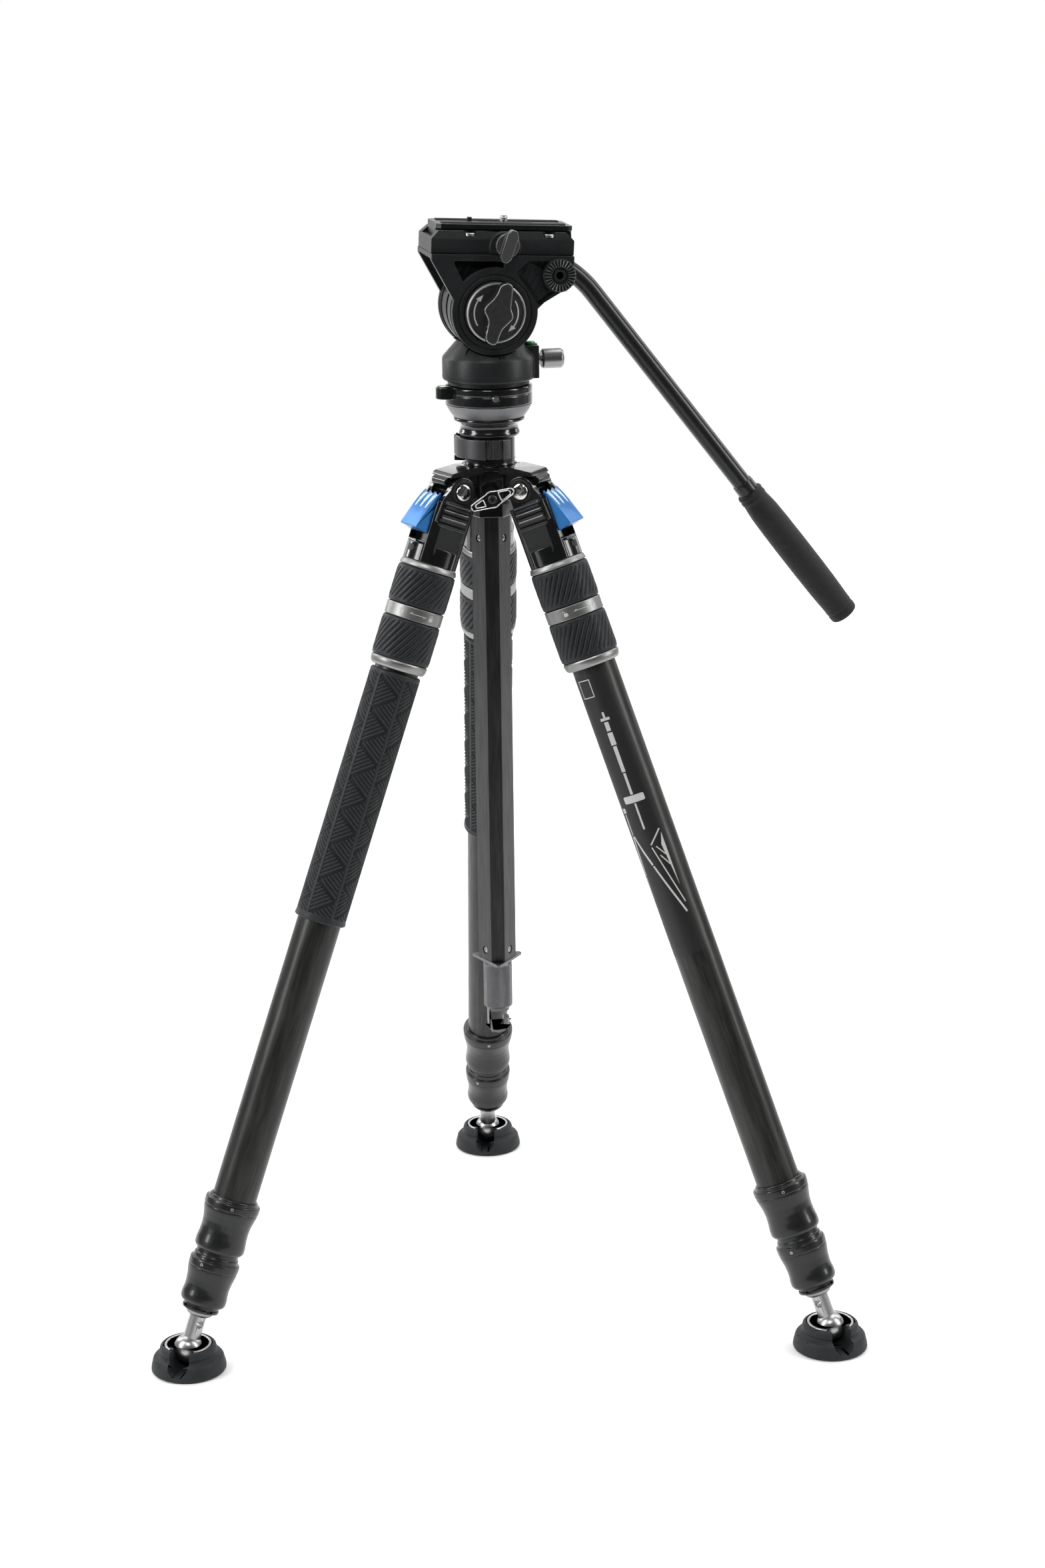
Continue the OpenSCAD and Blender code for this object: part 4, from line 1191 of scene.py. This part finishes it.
def tilt_knob():
    """Dished dark disc with a silver bevel, a rounded S-shaped grip with a steel strip round its edge as
    a painted highlight, and two printed arrows.
    """
    axis = TILT @ turn(90, "X")
    profile = [
        (0, 26.2), (22.6, 26.2), (23.4, 26.9), (23.6, 28.2), (23.6, 34.2), (21.6, 35.7), (21.2, 35.3),
        (0, 35.3),
    ]
    disc = lathe("knob_disc", profile, axis, 128)
    finish(disc, DARK_GREY, "tilt_knob", ("tilt_knob",), angle=28)
    profile = [(23.5, 28.6), (24.1, 28.8), (24.1, 34.3), (23.6, 35.6), (22.6, 36.4), (21.8, 36.3)]
    bevel = ring("knob_bevel", profile, 21.9, axis, 128)
    finish(bevel, SILVER, "tilt_knob", (), angle=28)
    outline = spline(S_GRIP, 5)
    grip = plate("knob_grip", [outline], -44.5, -34.9, TILT, 1.7, edge_steps=4)
    dimples = []
    ball = [(0, -1.15), (0.8, -0.85), (1.15, 0), (0.8, 0.85), (0, 1.15)]
    for u, v in DIMPLES:
        dimples.append(lathe("dimple", ball, TILT @ shift(u, -42.6, v), 16))
    boolean(grip, dimples)
    finish(grip, DARK_GREY, "tilt_knob", (), angle=40)
    # steel strip along the grip's edge: a painted highlight where the edge catches light
    rim = tube("knob_grip_painted_highlight", edge_path(outline, 0.75, -43.9), 0.42, TILT, 10, closed=True)
    finish(rim, STEEL, "tilt_knob", (), angle=60, weighted=False)
    arrows = [bent_arrow(17.6, 212, 125), bent_arrow(17.6, 30, -58)]
    signs = plate("knob_arrows", arrows, -35.42, -35.28, TILT, 0.0)
    finish(signs, PRINT, "tilt_knob", (), weighted=False)


tilt_knob()

# ---------------------------------------------------------------- camera platform


def rosette_teeth():
    """Ring of flat-topped radial teeth on the open handle seat, their tops coloured lighter grey as a
    painted highlight.
    """
    teeth, fine = 26, 8
    total = teeth * fine
    where = PLATFORM @ shift(ROSETTE[0], 0, ROSETTE[1]) @ turn(90, "X")
    shape = [
        (6.3, 32.4, 0), (6.3, 32.7, 0), (7.0, 32.9, 1), (12.2, 32.9, 1), (12.75, 32.6, 0.5),
        (12.75, 32.0, 0),
    ]
    rows = []
    for r, height, share in shape:
        row = []
        for k in range(total):
            angle = 2 * pi * k / total
            crest = min(1.0, 1.5 * (1 - abs((k % fine) - fine / 2) / (fine / 2)))
            row.append((r * cos(angle), r * sin(angle), height + 1.3 * share * crest))
        rows.append(row)
    teeth_ring = grid("rosette_teeth", rows, where, looped=True)
    # teeth tops take the lighter grey, the rest the dark finish: a painted highlight on the crests
    paint_light_faces(teeth_ring, HEAD_BLACK, MID_GREY, lambda p: p.z > 33.9)
    finish(teeth_ring, DARK_GREY, "platform", (), angle=25, weighted=False)


def clamp():
    refine("clamp_block", "clamp_body", PLATFORM, HEAD_BLACK, "platform", 0.6)
    refine("jaw_body", "clamp_jaw", PLATFORM, DARK_GREY, "jaw", 0.35)
    for k, x in enumerate((-21, 42.3)):
        spot = PLATFORM @ shift(x, -23.6, 60.6)
        socket_screw(f"clamp_screw_{k}", 4.4, 2.4, 2.0, spot, STEEL, "platform")
    refine("lock_knob_body", "plate_lock_knob", PLATFORM, MID_GREY, "plate_lock", 0.7)


PAD_RIBS = 6


def quick_plate():
    """Plate with two ribbed rubber pads and the camera screw."""
    refine("plate_body", "quick_plate", PLATFORM, PLATE_BLACK, "plate", 0.4)
    low, high = 7.5 - 49.3, 7.5 + 49.3
    for s in (-1, 1):
        middle = s * 12.6
        pitch = 8.8 / PAD_RIBS
        section = [(middle - 4.4, 67.02)]
        for k in range(PAD_RIBS):
            left = middle - 4.4 + k * pitch
            right = left + pitch
            section += [(left + 0.1, 67.45), (left + 0.35, 67.9)]
            section += [(right - 0.35, 67.9), (right - 0.1, 67.45)]
        section.append((middle + 4.4, 67.02))
        rows = [[(x, y, z) for y, z in section] for x in (low, high)]
        pad = grid(f"plate_pad_{s + 1}", rows, PLATFORM, caps=True)
        nodes = ("plate_pads",) if s == -1 else ()
        finish(pad, PAD_RUBBER, "plate", nodes, angle=20)
    screw = PLATFORM @ shift(10.5, 0, 0)
    profile = soften([(0, 58), (7.2, 58), (7.2, 61.7), (0, 61.7)], 0.4, 2, closed=False)
    head = lathe("camera_screw_head", profile, screw, 64)
    finish(head, STEEL, "camera_screw", ("camera_screw",))
    shank = lathe("camera_screw_shank", [(0, 61), (2.6, 61), (2.6, 67.5), (0, 67.5)], screw, 32)
    finish(shank, STEEL, "camera_screw", ())
    threaded("camera_screw_thread", screw, 3.175, 67.2, 72.4, 1.27, STEEL, "camera_screw")


refine("cradle_body", "cradle", PLATFORM, HEAD_BLACK, "platform", 0.7)
rosette_teeth()
clamp()
quick_plate()

# ---------------------------------------------------------------- pan handle

bend_end = (
    BEND_START[0] + BEND_R * (sin(radians(ROD_SLOPE)) - sin(radians(ROD_SLOPE - BEND_DEG))),
    BEND_START[1] - BEND_R * (cos(radians(ROD_SLOPE - BEND_DEG)) - cos(radians(ROD_SLOPE))),
)
ROD = PLATFORM @ shift(bend_end[0], ROD_PLANE, bend_end[1]) @ turn(90 + ROD_SLOPE, "Y")
GRIP = ROD @ shift(0, 0, ROD_L - GRIP_L)


def pan_handle():
    entry, slope = radians(ROD_SLOPE - BEND_DEG), radians(ROD_SLOPE)
    path = [(BEND_START[0] - 10 * cos(entry), ROD_PLANE, BEND_START[1] + 10 * sin(entry))]
    for k in range(25):
        a = entry + radians(BEND_DEG) * k / 24
        path.append(
            (
                BEND_START[0] + BEND_R * (sin(a) - sin(entry)),
                ROD_PLANE,
                BEND_START[1] - BEND_R * (cos(entry) - cos(a)),
            )
        )
    reach = ROD_L - 4
    tip = (bend_end[0] + reach * cos(slope), ROD_PLANE, bend_end[1] - reach * sin(slope))
    rod = tube("handle_rod", path + [tip], 7.75, PLATFORM, 64)
    finish(rod, SATIN_BLACK, "handle", ("handle_tube",), weighted=False)
    seat = PLATFORM @ shift(ROSETTE[0], 0, ROSETTE[1]) @ turn(-90, "X")
    profile = soften([(12.2, 33.2), (12.9, 33.9), (12.9, 48.2), (12.0, 49)], 0.5, 3, closed=False)
    disc = ring("handle_rosette", profile, 3.05, seat, 96)
    finish(disc, SATIN_BLACK, "handle", ())
    profile = soften([(7.6, 205), (8.6, 205.4), (8.9, 208), (8.9, 214.9)], 0.5, 3, closed=False)
    ferrule = ring("handle_rod_ferrule", profile, 7.6, ROD, 64)
    finish(ferrule, SATIN_BLACK, "handle", ())
    profile = [
        (9.6, 0), (11, 1), (11.4, 3), (10.6, 4.4), (11.4, 5.8), (11.4, 8), (10.9, 9.4), (11.6, 15),
        (12.4, 24), (12.8, 40), (13, 60), (13, 84), (12.8, 105), (12.4, 118), (12, 127), (12.2, 130),
        (11.6, 131.4), (12.2, 133), (12.1, 137.4), (11.2, 138.9), (9, 139.4), (0, 139.4),
    ]
    shape = soften(profile, 1.4, 4, closed=False)
    grip = lathe("grip_rubber", [(7.77, 0)] + shape, GRIP, 96)
    finish(grip, GRIP_RUBBER, "handle", ("handle_grip",), angle=55, weighted=False)


pan_handle()
refine("handle_bolt_body", "handle_bolt", PLATFORM, DARK_GREY, "handle_bolt", 0.5)

# ---------------------------------------------------------------- camera, floor and light


CAMERA_SPOT = (-0.1084, -2.6194, 1.1723)
CAMERA_PAN, CAMERA_PITCH, CAMERA_ROLL = -2.76, 74.03, -0.755
CAMERA_LENS = 73.63
# name, place, aim and size in metres, power in watts
LIGHTS = (
    ("key_left", (-2.0, -0.9, 1.6), (0, 0, 0.6), (0.6, 2.0), 40),
    ("key_right", (2.1, -0.7, 1.5), (0, 0, 0.6), (0.5, 2.0), 30),
    ("rim_left", (-2.0, 1.3, 1.5), (0, 0, 0.7), (0.5, 1.6), 20),
    ("rim_right", (2.0, 1.3, 1.5), (0, 0, 0.7), (0.5, 1.6), 12),
    ("front_top", (-0.3, -2.3, 2.9), (0, 0, 0.6), (1.0, 0.6), 28),
    ("top", (0.1, 0.9, 2.9), (0, 0.6, 0.0), (3.4, 2.0), 62),
    ("back_wall", (0, 2.6, 3.8), (0, 4.8, 1.0), (6.0, 1.4), 150),
)
DIM_WORLD = 0.05
FLOOR_FRONT, FLOOR_BACK, FLOOR_BEND, FLOOR_SIDE, WALL_TOP = -1.5, 3.2, 1.8, 5.5, 5.0


def photo_camera():
    data = bpy.data.cameras.new("photo_camera")
    data.sensor_fit = "VERTICAL"
    data.sensor_height = 36
    data.lens = CAMERA_LENS
    data.clip_start = 0.05
    data.clip_end = 60
    aim = turn(CAMERA_PAN, "Z") @ turn(CAMERA_PITCH, "X") @ turn(CAMERA_ROLL, "Z")
    where = Matrix.Translation(Vector(CAMERA_SPOT)) @ aim
    bpy.context.scene.camera = place("photo_camera", data, where)


def sweep_floor():
    """Pale floor, and a pale curved wall behind it that lights the object but isn't seen."""
    profile = [(FLOOR_FRONT, 0.0), (FLOOR_BACK, 0.0)]
    for k in range(1, 25):
        a = radians(90 * k / 24)
        profile.append((FLOOR_BACK + FLOOR_BEND * sin(a), FLOOR_BEND * (1 - cos(a))))
    profile.append((FLOOR_BACK + FLOOR_BEND, WALL_TOP))
    s = Shader("floor_white", (0.94, 0.94, 0.94), 0.75)
    s.mottle(s.noise(0.002, 2), 0.4, 0.7, 0.5, (0.965, 0.965, 0.965))
    for name, part in (("floor", profile[:2]), ("back_reflector", profile[1:])):
        bm = bmesh.new()
        rows = [[bm.verts.new((x, y, z)) for y, z in part] for x in (-FLOOR_SIDE, FLOOR_SIDE)]
        for k in range(len(part) - 1):
            bm.faces.new((rows[0][k], rows[1][k], rows[1][k + 1], rows[0][k + 1]))
        mesh = bpy.data.meshes.new(name)
        bm.to_mesh(mesh)
        bm.free()
        for polygon in mesh.polygons:
            polygon.use_smooth = True
        mesh.materials.append(s.mat)
        piece = place(name, mesh, Matrix())
        piece.visible_camera = name == "floor"


def area_light(name, spot, target, size, power):
    data = bpy.data.lights.new(name, "AREA")
    data.shape = "RECTANGLE"
    data.size, data.size_y = size
    data.energy = power
    away = Vector(spot) - Vector(target)
    aim = away.to_track_quat("Z", "Y").to_matrix().to_4x4()
    place(name, data, Matrix.Translation(Vector(spot)) @ aim)


def studio():
    """Soft area lights, and a world that is dim as light but pale as a backdrop."""
    world = bpy.data.worlds.new("studio")
    world.use_nodes = True
    tree = world.node_tree
    background = tree.nodes["Background"]
    background.inputs["Color"].default_value = (1, 1, 1, 1)
    seen = tree.nodes.new("ShaderNodeLightPath")
    strength = tree.nodes.new("ShaderNodeMapRange")
    strength.inputs["To Min"].default_value = DIM_WORLD
    strength.inputs["To Max"].default_value = 1.0
    tree.links.new(seen.outputs["Is Camera Ray"], strength.inputs["Value"])
    tree.links.new(strength.outputs["Result"], background.inputs["Strength"])
    bpy.context.scene.world = world
    bpy.context.scene.view_settings.view_transform = "Standard"
    bpy.context.scene.view_settings.look = "None"
    for light in LIGHTS:
        area_light(*light)


photo_camera()
sweep_floor()
studio()
